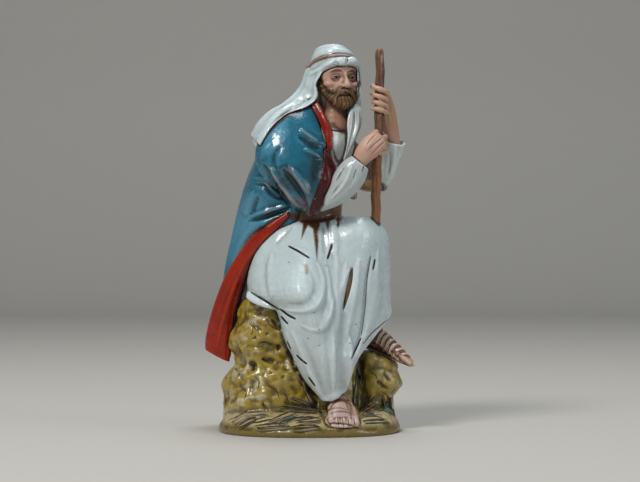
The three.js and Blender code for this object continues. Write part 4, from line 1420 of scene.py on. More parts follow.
# %% Head-cloth: folds
CLOTH_FOLDS = [
    (0.5, 0.7, (312, 70), (308, 80), (305, 90), (294, 102), (278, 112), (265, 124)),
    (-0.5, 0.6, (317, 72), (313, 80), (312, 90), (308, 98), (296, 106), (284, 113), (272, 123)),
    (-0.4, 0.5, (307, 76), (303, 88), (293, 98), (280, 106), (267, 116), (259, 127)),
    (0.4, 0.5, (316.5, 78), (314, 86), (316, 94), (314, 100)),
    (-0.35, 0.4, (300, 100), (288, 109), (276, 118), (268, 127)),
    (-0.45, 0.4, (354, 110), (354, 124), (351, 140), (346, 155)),
    (0.3, 0.4, (358, 110), (358, 124), (354, 140)),
    (-0.3, 0.35, (359, 70), (360, 82), (358.5, 94)),
    (-0.2, 0.35, (310, 70), (318, 67), (324, 64)),
    (-0.4, 0.35, (346.5, 56.5), (347.4, 60), (346, 64.5)),
    (0.3, 0.4, (322, 67), (329, 64), (335, 60)),
    (-0.3, 0.35, (334, 60.6), (337, 63.4), (340, 64.6)),
]
carve(head_cloth, CLOTH_FOLDS)
CLOTH_LINES = [
    ((354.5, 112), (354.5, 124), (352, 138)),
    ((347, 57), (347.6, 60.5), (346.4, 64)),
    ((350, 56.4), (352.6, 55.8), (355.4, 57)),
    ((333, 63.6), (336, 65.4), (339.6, 64.6)),
    ((358.6, 68), (360, 80), (358.6, 92)),
    ((316.5, 84), (318.5, 92), (316, 100)),
    ((301, 108.5), (292, 112), (284, 117), (276, 124)),
]
like_lines("brown", 0.16, (head_cloth,), CLOTH_LINES)

# %% Head-cloth: paint and painted shade, and painted shade on the neck and tunic beside it
END_EDGE = (0.5, (347, 114), (346.6, 130), (346, 145), (343.2, 157), (338, 165))
mark_lines(head_cloth, [END_EDGE], NECK_BROWN, 0.95, taper=0.2)
# Painted shade along the lower edge of the brow roll.
SHADE_UNDER_ROLL = (0.4, (321, 74), (327, 69.4), (333, 66.6), (341, 66.8), (347, 65.4), (355, 66))
mark_lines(head_cloth, [SHADE_UNDER_ROLL], (132, 124, 88), 0.6, taper=0.4)
END_SHADE = ((112, 98, 82), 0.3, (345, 110), (363, 110), (361, 142), (350, 158), (342, 166))
mark_areas(head_cloth, [END_SHADE])
brush(head_cloth, np.ones(len(head_cloth.data.vertices)), (150, 168, 174), 0.15)
# Painted shade inside the hood, beside the face.
SHADE_BESIDE_FACE = ((84, 56, 38), 0.9, (319, 84), (326, 92), (327, 108), (320, 112), (318.5, 96))
mark_areas(head_cloth, [SHADE_BESIDE_FACE])
NECKLINE = ("brown", 0.38, (328, 128.5), (337, 131), (346.4, 130))
painted_lines((tunic, head), [NECKLINE], taper=0.15)
NECK_SHADE = ((150, 104, 80), 1, (318, 108), (336, 112), (334, 128.6), (326, 128))
mark_areas(tunic, [NECK_SHADE])
# Painted shade on the neck below the beard, deepest just under the chin.
heights = points_of(head)[:, 2]
brush(head, fade_in(heights, 86, -2), (134, 90, 64), 0.7)
shade_under_chin = fade_in(heights, 89, -1.5) * fade_in(heights, 82, 2.5)
brush(head, shade_under_chin, (84, 60, 42), 0.75)
tell_paint(head_cloth)

# %% Cord
CORD_RADIUS = 0.36
CORD_POINTS = 36
CORD_HEIGHT, CORD_SLOPE = 3.55, 0.27
cloth_tree = tree_of(head_cloth)
cord_rows = []
for i in range(CORD_POINTS):
    a = i / CORD_POINTS * 2 * pi
    x, y = 5.6 * cos(a), 6.4 * sin(a)
    z = CORD_HEIGHT - CORD_SLOPE * y
    middle, planned = Vector(head_point(-0.8, 0.8, z)), Vector(head_point(x - 0.8, y + 0.8, z))
    out = (planned - middle).normalized()
    planned_reach = (planned - middle).length
    found = cloth_tree.ray_cast(middle + out * 12, -out)[0]
    reach = (found - middle).length if found is not None else 0
    cord_rows.append(middle + out * min(max(reach, planned_reach - 0.6), planned_reach + 1))
bpy.ops.curve.primitive_bezier_circle_add(radius=MM)
cord = bpy.context.object
cord.data.splines.clear()
spline = cord.data.splines.new("POLY")
spline.points.add(len(cord_rows) - 1)
for point, row in zip(spline.points, cord_rows):
    point.co = (*[v * MM for v in row], 1)
spline.use_cyclic_u = True
cord.data.bevel_depth = CORD_RADIUS * MM
cord.data.bevel_resolution = 4
bpy.ops.object.convert(target="MESH")
cord = fuse("head_cord", [cord], grain=0.15, soften=3)
WORN_FROM = shown((323, 0))[0][0]
brush(cord, fade_in(front_view(points_of(cord))[:, 0], WORN_FROM, 0.6), (186, 180, 176), 0.85)
CORD_SHADOW = ("dark", 0.2, (323, 58.6), (330, 54.4), (338, 52.8), (346, 53.6))
painted_lines((cord, head_cloth), [CORD_SHADOW])

# %% [markdown]
# ## Feet in sandals
#
# Two feet could be modelled one by one. Here both come from one class, set by heel, toes and the
# way across, so a change to the foot changes both. The sole is a flat limb, and each strap is a
# thin ribbon on an arch over the foot, so it stays on the skin wherever it crosses.

# %% One foot
SOLE_THICKNESS = 1.0


class Foot:
    """Places on a foot: share 0 at the heel to 1 at the toes, sideways and lift in mm."""

    def __init__(self, heel, toe, across, width, rise):
        self.heel, self.toe = np.array(heel, float), np.array(toe, float)
        self.side = np.array(across) / norm(across)
        forward = (self.toe - self.heel) / norm(self.toe - self.heel)
        up = np.cross(self.side, forward)
        self.up = up if up[2] > 0 else -up
        self.width, self.rise = width, rise
        self.section = np.array([
            [0.08, 0.5, 0.45, 0.5],
            [0.34, 0.62, 0.5, 0.6],
            [0.62, 0.84, 0.32, 0.4],
            [0.84, 0.86, 0.15, 0.19],
        ])

    def at(self, share, sideways, lift):
        return self.heel + (self.toe - self.heel) * share + self.side * sideways + self.up * lift

    def shape(self, share):
        """Half-width, lift of the middle and half-height of the foot at a share."""
        along = self.section[:, 0]
        half, middle, height = (np.interp(share, along, self.section[:, k]) for k in (1, 2, 3))
        return half * self.width, middle * self.rise, height * self.rise

    def sole(self, size=1.0):
        rows = [[*self.at(share, 0, 0), self.width * wide * size, SOLE_THICKNESS * size / 2]
                for share, wide in ((0.03, 0.62), (0.35, 0.72), (0.75, 1.1), (0.98, 0.88))]
        return form(rows, side=self.side, domes=(1.5, 2), corner=3)

    def skin(self, ankle, toes):
        rows = []
        for share in (0.08, 0.34, 0.62, 0.84):
            half, middle, height = self.shape(share)
            rows.append([*self.at(share, 0, middle), half, height])
        forms = [form(rows, side=self.side, domes=(1, 0))]
        forms.append(form([[*self.at(0.2, 0, self.rise * 0.5), 2, 2], [*ankle, 2, 2]], domes=(0, 0)))
        for i, size in enumerate(toes):
            sideways = self.width * (0.74 - 0.37 * i)
            forms.append(form([
                [*self.at(0.62, sideways * 0.92, size * 2.5), size * 0.8, size * 0.9],
                [*self.at(0.78, sideways, size * 1.75), size * 0.88, size * 0.9],
                [*self.at(0.92 - 0.03 * i, sideways, size * 1.15), size * 0.9, size * 0.9],
                [*self.at(1.01 - 0.03 * i, sideways, size * 0.7), size, size * 0.9],
            ], side=self.side, around=16, domes=(0, 1)))
        return forms

    def strap(self, start, end, low=-75, high=75, wide=0.55, thick=0.3):
        """A ribbon over the foot, from share start on one side to share end on the other."""
        rows = []
        for i in range(9):
            t = i / 8
            angle = radians(low + (high - low) * t)
            share = start + (end - start) * t
            half, middle, height = self.shape(share)
            spot = self.at(share, half * sin(angle), middle + height * cos(angle))
            rows.append([*spot, wide, thick])
        return form(rows, side=self.toe - self.heel, around=12)


# %% Both feet
right = Foot((7, -8.6, 6.8), (8.7, -20.4, 2.8), (0.99, 0.14, 0), width=4, rise=6)
left = Foot((13.8, 3.6, 22), (26.8, -3.1, 17), (-0.45, -0.89, 0), width=3, rise=5)
feet = fuse("feet", [
    *right.skin(ankle=(6, -12, 13), toes=(1.1, 0.88, 0.86, 0.84, 0.88)),
    *left.skin(ankle=(17.4, 1.4, 30), toes=(0.82, 0.78, 0.74, 0.7, 0.66)),
], grain=0.185, soften=1)
BETWEEN_FEET = -8
TOES = 5
foot_y = points_of(feet)[:, 1]
brush(feet, foot_y < BETWEEN_FEET, (172, 152, 150), 0.45)
brush(feet, fade_in(foot_y, -18, -1.5), (180, 160, 156), 0.6)
brush(feet, foot_y > BETWEEN_FEET, (158, 130, 110), 0.9)
# A painted highlight on the tip of each toe.
for i in range(TOES):
    toe_highlight = right.at(1.0 - 0.03 * i, right.width * (0.74 - 0.37 * i), 1.5)
    x, z = front_view(toe_highlight[None])[0]
    mark_line(feet, 0.3, [(x - 0.3, z), (x + 0.3, z)], (226, 188, 166), 0.7, taper=0.1)

# %% Sandals
strap_forms = [
    right.sole(),
    left.sole(0.75),
    right.strap(0.56, 0.6, wide=0.45, thick=0.36),
    right.strap(0.28, 0.5, wide=0.8),
    right.strap(0.62, 0.2, wide=0.6),
]
WRAPS = 8
for i in range(WRAPS):
    share = 0.14 + 0.68 * i / (WRAPS - 1)
    strap_forms.append(left.strap(share, share - 0.05, high=112, wide=0.68, thick=0.32))
sandals = fuse("sandals", strap_forms, grain=0.175, soften=1)

# %% Sandals: shades and dark lines
SOLE_TOP = 3.4
_, sandal_y, sandal_z = points_of(sandals).T
brush(sandals, sandal_y > BETWEEN_FEET, (224, 192, 168), 0.8)
brush(sandals, (sandal_y < BETWEEN_FEET) & (sandal_z < SOLE_TOP), (190, 168, 162), 0.8)
for i in range(WRAPS):
    share = 0.14 + 0.68 * (i - 0.5) / (WRAPS - 1)
    line = []
    for degree in (-20, 40, 100):
        half, middle, height = left.shape(share)
        angle = radians(degree)
        spot = left.at(share - 0.02, half * sin(angle), middle + height * cos(angle))
        line.append(tuple(front_view(np.array([spot]))[0]))
    painted_line("brown", 0.24, line, (sandals, feet), taper=0.15)
SOLE_EDGE = ("dark", 0.34, (379, 346), (391, 358.5), (399, 363.5), (409, 366))
painted_lines((sandals, feet), [SOLE_EDGE])
TOE_GAPS = [
    ((337.6, 416.5), (338, 421), (339, 427)),
    ((342.4, 416), (342.8, 421), (343.6, 428)),
    ((348, 416), (348.4, 422), (349, 428)),
    ((353.6, 417.5), (354.4, 422), (355, 428)),
]
like_lines("brown", 0.2, (feet, sandals), TOE_GAPS, taper=0.6)
SOLE_SHADE = (
    (66, 38, 24), 0.85,
    (359, 344), (368, 338), (378, 344), (390, 354), (404, 366), (394, 366), (378, 360), (364, 354))
STRAP_EDGES = [
    (0.3, (329, 414.5), (337, 411.6), (348, 412.4), (356.5, 416.5)),
    (0.24, (326.5, 411), (331, 408.8), (340, 408), (349, 410.5)),
    (0.24, (342.6, 396), (346, 403), (348.6, 411)),
    (0.24, (346.4, 396), (350, 404), (353, 413)),
    (0.24, (329, 404), (335, 401), (342, 399)),
]
INSTEP_STRAP = ((128, 96, 52), 0.6, (342, 395), (350, 395), (358, 415), (350, 415))
for piece in (feet, sandals):
    mark_areas(piece, [SOLE_SHADE])
    mark_lines(piece, STRAP_EDGES, (98, 72, 66), 0.75, taper=0.3)
    mark_areas(piece, [INSTEP_STRAP])
    tell_paint(piece)
SHOE_OUTLINE = (
    "brown", 0.34, (325, 411), (327.4, 420), (333, 427.4), (343, 430), (354, 430),
    (360.4, 426.6), (361.6, 421), (357, 414))
painted_lines((feet, sandals), [SHOE_OUTLINE], taper=0.2)

# %% [markdown]
# ## Rocks, ground and grass
#
# The rocks are lumps with a few holes. They could be sculpted, but displacement from procedural
# clouds and cells breaks the smooth lofts evenly, and it is held back on the base, which stays
# flat below. Deep holes are cut where they show. Particles could grow the grass, but it is
# moulded and painted in strokes. So behind it is one blade, copied and laid down by rays, and in
# front each stroke is a ribbon of its own.

# %% The base
PLINTH_LENGTH, PLINTH_DEPTH, PLINTH_HEIGHT, PLINTH_RIM = 47.4, 45, 6.2, 2.2
PLINTH_FULLNESS = 2.5
PLINTH_RISE = PLINTH_HEIGHT - PLINTH_RIM
PLINTH_PROFILE = np.array([
    [0, 0.985, 0.985, 0],
    [PLINTH_RIM / 3, 1, 1, 0],
    [PLINTH_RIM * 0.8, 0.985, 0.985, 0],
    [PLINTH_RIM + PLINTH_RISE * 0.3, 0.95, 0.93, 0.5],
    [PLINTH_RIM + PLINTH_RISE * 0.7, 0.91, 0.84, 1.6],
    [PLINTH_HEIGHT, 0.8, 0.66, 3],
])


def plinth():
    """The oval base, from rows of height, share of length, share of depth and shift back."""
    angles = np.arange(96) / 96 * 2 * pi
    c, s = np.cos(angles), np.sin(angles)
    full = np.abs(c) ** PLINTH_FULLNESS + np.abs(s) ** PLINTH_FULLNESS
    reach = 0.5 / full ** (1 / PLINTH_FULLNESS)
    rings = []
    for i in range((len(PLINTH_PROFILE) - 1) * 4 + 1):
        z, along, across, back = row_at(PLINTH_PROFILE, i / 4)
        x = PLINTH_LENGTH * along * reach * c
        y = PLINTH_DEPTH * across * reach * s + back
        rings.append(np.stack([x, y, np.full(len(x), z)], axis=1))
    return skinned(rings, "plinth")


print("the base is", PLINTH_LENGTH, "by", PLINTH_DEPTH, "mm")

# %% Rocks on the base
SEAT_ROCK = [
    [-9, 2, 2.5, 13, 13],
    [-9.3, 2, 8, 13.2, 13.2],
    [-9.3, 2.2, 13.5, 12.8, 12.8],
    [-9, 2.6, 17.6, 10.8, 11.2],
    [-9, 3, 22.5, 11.6, 11.8],
    [-9, 3, 28, 11.2, 11.6],
    [-9, 3, 33, 9.6, 10.2],
]
FOOT_ROCK = [
    [16.2, 1.8, 3, 6, 8],
    [16, 1.6, 8, 5, 6.8, 0, -0.05],
    [17.8, 1.3, 13, 6.4, 7, 0, -0.15],
    [17.2, 1, 18.2, 5.8, 6, 0, -0.3],
]
BANK = [
    [7.6, 1, 4, 10, 11],
    [7.6, 1, 9, 8, 9.5],
    [7.4, 1, 15, 7, 8],
    [7, 1, 21, 6, 6.5],
    [6, 1, 26, 5, 5],
]


def rough(angles, share, points):
    return lumps(points, 3, 1)


def small_rough(angles, share, points):
    return lumps(points, 2.2, 0.6)


rocks = fuse("rocks", [
    form(SEAT_ROCK, level=True, around=48, domes=(0, 0.3), fold=rough, corner=2.4),
    form(FOOT_ROCK, level=True, around=36, domes=(0, 0.4), fold=small_rough),
    form(BANK, level=True, around=36, domes=(0, 0.4), fold=small_rough),
    plinth(),
], grain=0.43, soften=2)

# %% Broken stone
points = points_of(rocks)
heights = points[:, 2]
on_rock = np.maximum(fade_in(heights, 5.6, 2.5), 0.45 * fade_in(heights, 0.5, 1.5))
group = rocks.vertex_groups.new(name="stone")
for level in range(1, 11):
    chosen = np.nonzero(np.round(on_rock * 10) == level)[0]
    group.add(chosen.tolist(), level / 10, "REPLACE")
lump_texture = bpy.data.textures.new("stone_lumps", "CLOUDS")
lump_texture.noise_scale = 3.8 * MM
lump_texture.noise_depth = 1
cell_texture = bpy.data.textures.new("stone_facets", "VORONOI")
cell_texture.noise_scale = 4.6 * MM
for texture, strength, middle in ((lump_texture, 1.7, 0.5), (cell_texture, -0.8, 0.35)):
    apply_modifier(rocks, "DISPLACE", texture=texture, texture_coords="LOCAL",
                   strength=strength * MM, mid_level=middle, vertex_group="stone")
print("the stone is displaced by", len(bpy.data.textures), "textures")

# %% Ground pressed flat under the right foot and below the base
FOOT_REACH, GROUND_TOP, LOWEST_GROUND, FLAT_BELOW = 8, 8, 1.6, 0.25
points = points_of(rocks)
foot_way = right.toe - right.heel
walk = (points - right.heel) @ foot_way / np.sum(foot_way ** 2)
beside_foot = np.abs((points - right.heel) @ right.side)
under_foot = right.heel[2] + foot_way[2] * walk - 0.3 + np.maximum(beside_foot - 4.4, 0)
near_foot = (walk > -0.1) & (walk < 1.3) & (points[:, 2] < GROUND_TOP) & (beside_foot < FOOT_REACH)
pressed = np.maximum(under_foot, LOWEST_GROUND)
points[near_foot, 2] = np.minimum(points[near_foot, 2], pressed[near_foot])
points[:, 2] = np.maximum(points[:, 2], 0)
points[heights < FLAT_BELOW, 2] = 0
set_points(rocks, points)
print(int(near_foot.sum()), "points of the ground lie near the right foot")

# %% Holes and ledges in the stone
HOLES = [
    (-2.2, 0.85, (249, 361), (252, 365), (252.5, 371)),
    (-1.5, 0.6, (262, 359), (268, 360), (275, 361)),
    (-1.7, 0.5, (277.4, 345), (278, 347.5), (278.6, 350)),
    (-1.0, 0.45, (253.6, 337), (255.6, 339)),
    (-0.9, 0.4, (266, 333), (268, 334.4)),
    (-1.0, 0.4, (282.4, 376), (283.8, 378)),
    (-1.0, 0.4, (269.6, 371.4), (271.4, 373)),
    (-1.0, 0.45, (241, 375), (243, 376)),
    (-0.7, 0.4, (235, 367), (237, 372), (241, 379)),
    (-0.8, 0.4, (262, 402), (265, 408), (269, 411)),
    (-0.8, 0.4, (288, 350), (292, 358), (294, 366)),
    (-0.8, 0.4, (251, 322), (257, 328), (262, 331)),
    (-0.7, 0.4, (270, 318), (276, 324), (279, 331)),
    (-0.8, 0.4, (384, 372), (388, 378), (392, 380)),
    (-0.8, 0.4, (378, 380), (382, 386), (388, 389)),
]
LEDGES = [
    (0.6, 0.8, (246, 348), (256, 350), (270, 355), (282, 360)),
    (0.6, 0.8, (238, 366), (244, 372), (247, 380)),
    (0.5, 0.8, (246, 312), (257, 318), (268, 324)),
    (0.5, 0.8, (376, 362), (386, 366), (397, 370)),
]
carve(rocks, HOLES + LEDGES)
DEEP = -0.9
for depth, width, *places in HOLES:
    strength = 0.95 if depth < DEEP else 0.6
    mark_lines(rocks, [(width, *places)], (36, 22, 18), strength, taper=0.3)

# %% Cracks, and the dark line where the rocks end
CRACKS = [
    ((249, 322), (253, 329), (251, 335)),
    ((266, 318), (271, 326), (277, 329)),
    ((258, 343), (266, 342), (272, 346)),
    ((285, 340), (289, 350), (293, 362)),
    ((240, 386), (246, 392), (244, 400)),
    ((268, 386), (276, 390), (279, 398)),
    ((283, 392), (288, 400), (287, 408)),
    ((254, 376), (259, 381), (258, 388)),
    ((370, 372), (376, 376), (378, 384)),
    ((381, 391), (388, 396), (390, 404)),
]
like_lines("dark", 0.22, (rocks,), CRACKS, taper=0.5)
HEM_SHADOWS = [
    (1.2, (276, 310), (281, 326), (285.6, 341), (294, 363), (305.4, 382), (315, 396)),
    (1.2, (365, 345), (362, 362), (358, 382)),
]
mark_lines(rocks, HEM_SHADOWS, (30, 20, 16), 0.95, taper=0.2)
print(len(CRACKS), "cracks")

# %% Pale dry brushing and painted highlights on the stone, and the colour of the ground
# Pale dry brushing on the stone, in a bluish tone that also stands for painted highlights.
PALE_DRYBRUSH_AND_HIGHLIGHT = (198, 192, 170)
DRYBRUSH_AND_HIGHLIGHT_SPOTS = [
    ((259, 316), 3.6, 0.85), ((258, 394), 4.4, 0.9), ((243, 372), 2.6, 0.85), ((290, 372), 2.4, 0.6),
    ((262, 350), 2.8, 0.7), ((388, 372), 2.8, 0.7), ((272, 325), 2.6, 0.7), ((240, 398), 2.6, 0.7),
    ((246, 340), 2.2, 0.6),
]
stone_points, stone_normals = points_of(rocks), normals_of(rocks)
stone_spots = front_view(stone_points)
speckle = lumps(stone_points, 0.55, 1) * 3 + lumps(stone_points + 7, 1.3, 1) * 2
speckle = unit(speckle)
for place, reach, strength in DRYBRUSH_AND_HIGHLIGHT_SPOTS:
    gap = norm(stone_spots - np.array(shown(place)[0]), axis=1) / reach
    brush(rocks, np.exp(-gap ** 2) * speckle * facing(stone_normals), PALE_DRYBRUSH_AND_HIGHLIGHT, strength)
# Paler where the stone faces up, as dry brushing and painted light from above, and on its hidden sides as
# dry brushing.
upward = unit(stone_normals[:, 2] * 1.6 - 0.5)
hidden_side = unit(stone_normals[:, 1]) + unit(np.abs(stone_normals[:, 0]) - 0.5)
heights = stone_points[:, 2]
brush(rocks, upward * speckle * fade_in(heights, 0, 8), PALE_DRYBRUSH_AND_HIGHLIGHT, 0.22)
brush(rocks, hidden_side * speckle, PALE_DRYBRUSH_AND_HIGHLIGHT, 0.18)
on_ground = fade_in(heights, 6.6, -1.5) * fade_in(heights, 1.8, 1.5)
brush(rocks, on_ground, (186, 174, 140), 0.7)
brush(rocks, fade_in(heights, 3, -1.2), (64, 52, 16), 0.9)
tell_paint(rocks)

# %% One blade of grass
ground_tree = tree_of(rocks)
DOWN = Vector((0, 0, -1))


def ground_at(x, y, top=9.0):
    hit = ground_tree.ray_cast(Vector((x, y, top)), DOWN)
    return hit[0].z if hit[0] is not None else 0.0


bpy.ops.mesh.primitive_cylinder_add(vertices=6, radius=1, depth=1, location=(0, 0, 0.5))
one_blade = bpy.context.object
one_blade.name = "one_blade"
bpy.ops.object.transform_apply(location=True, rotation=False, scale=False)
BLADE_WIDTHS = (1.0, 1.25, 1.1, 0.75, 0.25)
bpy.ops.object.mode_set(mode="EDIT")
bpy.ops.mesh.select_mode(type="FACE")
for step, size in enumerate(BLADE_WIDTHS):
    bpy.ops.mesh.select_all(action="DESELECT")
    bpy.ops.object.mode_set(mode="OBJECT")
    for face in one_blade.data.polygons:
        face.select = face.normal.z > 0.9
    bpy.ops.object.mode_set(mode="EDIT")
    if step:
        bpy.ops.mesh.extrude_region_move(TRANSFORM_OT_translate={"value": (0, 0, 1)})
    previous = BLADE_WIDTHS[step - 1] if step else 1.0
    bpy.ops.transform.resize(value=(size / previous, size / previous, 1))
# Extruding lists the faces in another order on each run, so they are sorted by their distance
# from a place that no two of them are equally far from.
bpy.ops.mesh.select_all(action="SELECT")
bpy.context.scene.cursor.location = (7, 3, -2)
bpy.ops.mesh.sort_elements(type="CURSOR_DISTANCE", elements={"FACE"})
bpy.context.scene.cursor.location = (0, 0, 0)
bpy.ops.object.mode_set(mode="OBJECT")
BLADE_SHAPE = points_of(one_blade) * MM
BLADE_STEPS = len(BLADE_WIDTHS)
print("a blade has", len(one_blade.data.polygons), "faces")


# %% Blades that stay on the base
def on_base(x, y, margin=1.2):
    along = abs(x) / (PLINTH_LENGTH / 2 - margin)
    across = abs(y) / (PLINTH_DEPTH / 2 - margin)
    return along ** PLINTH_FULLNESS + across ** PLINTH_FULLNESS < 1


def blade(root, angle, reach, bow, size):
    """A copy of the blade, laid on the ground from root out by reach, and raised by bow."""
    mesh = one_blade.data.copy()
    t = BLADE_SHAPE[:, 2] / BLADE_STEPS
    c, s = cos(angle), sin(angle)
    while reach > 1 and not on_base(root[0] + reach * c, root[1] + reach * s):
        reach -= 0.4
    x, y = root[0] + reach * t * c, root[1] + reach * t * s
    ground = np.array([ground_at(a, b) for a, b in zip(x, y)])
    z = ground + bow * np.sin(pi * t)
    across, up = BLADE_SHAPE[:, 0] * 0.32 * size, BLADE_SHAPE[:, 1] * 0.28 * size
    x, y, z = x - s * across, y + c * across, np.maximum(z + up + 0.08, 0.05)
    made = bpy.data.objects.new("blade", mesh)
    bpy.context.scene.collection.objects.link(made)
    set_points(made, np.stack([x, y, z], axis=1))
    return made


print("the middle is on the base:", on_base(0, 0))

# %% Tufts at the back and the sides
random = np.random.RandomState(12)
GRASS_COLORS = 5 * [(34, 24, 20)] + [
    (62, 44, 32), (96, 88, 44), (90, 124, 122), (190, 170, 140)]
blades = []
tints = []


def some_tint():
    return GRASS_COLORS[random.randint(len(GRASS_COLORS))]


TUFTS = [
    ((4, 0), (13, 19), (60, 120), 30, (2.4, 4)),
    ((8, 0), (11.5, 14.5), (-30, 40), 18, (2.4, 4)),
    ((-8, 0), (13.6, 15), (120, 190), 18, (1.6, 2.6)),
]
for middle, distances, (low, high), count, lengths in TUFTS:
    for i in range(count):
        angle = radians(low + (high - low) * (i + random.uniform(0, 1)) / count)
        out = random.uniform(*distances)
        x, y = middle[0] + out * cos(angle), middle[1] + out * sin(angle)
        while not on_base(x, y, 2.4):
            x, y = x * 0.96, y * 0.96
        length = random.uniform(*lengths)
        turned = angle + random.uniform(-0.2, 0.2)
        blades.append(blade((x, y), turned, length, bow=0.35, size=random.uniform(0.8, 1.3)))
        tints.append(some_tint())
print(len(blades), "blades at the back and the sides")

# %% Fans of grass in front
FANS = [
    ((322, 414), (320, 408), (275, 411), (292, 396), 15),
    ((292, 411), (307, 418), (266, 420), (282, 426), 9),
    ((321, 417), (321, 423), (296, 419), (300, 427), 7),
    ((247, 410), (259, 420), (228, 419), (240, 431), 10),
    ((289, 424), (292, 429), (255, 426), (260, 432), 6),
    ((319, 425), (323, 429), (289, 427), (298, 432), 6),
    ((266, 411), (272, 419), (244, 413), (252, 423), 7),
    ((358, 411), (361, 418), (366, 393), (390, 409), 13),
    ((361, 417), (365, 425), (382, 413), (391, 425), 8),
    ((320, 405), (311, 408), (293, 378), (307, 380), 9),
    ((352, 409), (362, 404), (354, 368), (368, 376), 10),
]
GRASS_WIDTH = 0.44
for root_a, root_b, tip_a, tip_b, count in FANS:
    for i in range(count):
        t = (i + random.uniform(0, 1)) / count
        root = np.array(root_a) * (1 - t) + np.array(root_b) * t + random.uniform(-1, 1, 2)
        tip = np.array(tip_a) * (1 - t) + np.array(tip_b) * t + random.uniform(-2, 2, 2)
        middle = root * 0.6 + tip * 0.4 + random.uniform(-2.4, 1.2, 2)
        line = shown(root, middle, tip)
        stroke = ribbon(GRASS_WIDTH * random.uniform(0.6, 1.2), line, 1.0, [ground_tree], 0.1, rise=0.25)
        if stroke is None:
            continue
        blades.append(stroke)
        tints.append(some_tint())
bpy.data.objects.remove(one_blade)
counts = [len(one.data.vertices) for one in blades]
grass = joined("grass", blades)
turn_outward(grass)
rows = [np.tile(paint(*tint), (count, 1)) for tint, count in zip(tints, counts)]
LAYERS["grass"] = np.concatenate(rows)
print("grass", len(grass.data.polygons) * 2, "triangles in", len(blades), "blades")

# %% [markdown]
# ## Where the wash lies
#
# The painter brushes dark thinned paint over the whole figure and wipes it off again, so it stays
# in hollows and along every join. Both are measured here and kept as attributes on the mesh: how
# far a point lies below its smoothed surroundings, and how near another piece it is. Shading
# nodes then turn them into paint.

# %% How far a point lies below its surroundings
PIECES = [tunic, sleeves, cloak, lining, staff, hands, head, beard, head_cloth, cord, feet,
          sandals, rocks, grass]


def edges_of(piece):
    ends = np.empty(len(piece.data.edges) * 2, np.int32)
    piece.data.edges.foreach_get("vertices", ends)
    return ends.reshape(-1, 2)


def averaged(values, ends, rounds):
    """Each point's value blended with its neighbours', several times over."""
    a, b = ends.T
    count = len(values)
    degree = np.bincount(a, minlength=count) + np.bincount(b, minlength=count)
    result = values.copy()
    for _ in range(rounds):
        for k in range(result.shape[1]):
            column = result[:, k]
            total = np.bincount(a, column[b], count) + np.bincount(b, column[a], count)
            result[:, k] = 0.4 * column + 0.6 * total / np.maximum(degree, 1)
    return result


def hollow(piece, rounds):
    """How far each point lies under its smoothed surroundings, in mm."""
    points, normals = points_of(piece), normals_of(piece)
    smooth = averaged(points, edges_of(piece), rounds)
    return ((smooth - points) * normals).sum(axis=1)


def keep(piece, name, values):
    attribute = piece.data.attributes.new(name, "FLOAT", "POINT")
    attribute.data.foreach_set("value", values.astype(np.float32))


print(len(PIECES), "pieces to measure")

# %% Lay the thin lines on their pieces
trees = {piece.name: tree_of(piece) for piece in PIECES}
LINES = {}
for name, jobs in line_jobs.items():
    ribbons = []
    for width, line, onto, taper in jobs:
        under = [trees[piece.name] for piece in onto]
        ribbons.append(ribbon(width, line, taper, under, LINE_LIFTS[name]))
    LINES[name] = joined(name + "_lines", [made for made in ribbons if made is not None])
    turn_outward(LINES[name])
    print(name, len(jobs), "lines")

# %% How near the other pieces are
JOIN_REACH = 0.9


def join_shade(piece):
    """1 where another piece touches, falling to 0 at JOIN_REACH."""
    points = points_of(piece)
    gap = np.full(len(points), JOIN_REACH)
    low, high = points.min(axis=0) - JOIN_REACH, points.max(axis=0) + JOIN_REACH
    for other in PIECES:
        if other in (piece, grass):
            continue
        others = points_of(other)
        other_low, other_high = others.min(axis=0), others.max(axis=0)
        if (other_low > high).any() or (other_high < low).any():
            continue
        tree = trees[other.name]
        near = (points > other_low - JOIN_REACH) & (points < other_high + JOIN_REACH)
        near = np.all(near, axis=1)
        for i in np.nonzero(near)[0]:
            found = tree.find_nearest(Vector(points[i]), gap[i])
            if found[0] is not None:
                gap[i] = found[3]
    return 1 - gap / JOIN_REACH


# %% Keep the measures on the meshes
for piece in PIECES + list(LINES.values()):
    count = len(piece.data.vertices)
    fine, broad, joined = np.zeros(count), np.zeros(count), np.zeros(count)
    if piece in PIECES:
        fine, broad, joined = hollow(piece, 6), hollow(piece, 40), join_shade(piece)
    wash = unit(fine / 0.05) * 0.7 + unit(broad / 0.35) * 0.6
    keep(piece, "wash", unit(wash))
    keep(piece, "edge", unit(-fine / 0.05))
    keep(piece, "join", joined)
    layer = LAYERS.get(piece.name, np.zeros((count, 4)))
    painted_on = piece.data.attributes.new("paint", "FLOAT_COLOR", "POINT")
    painted_on.data.foreach_set("color", layer.astype(np.float32).ravel())
print("wash measured on", len(PIECES), "pieces")
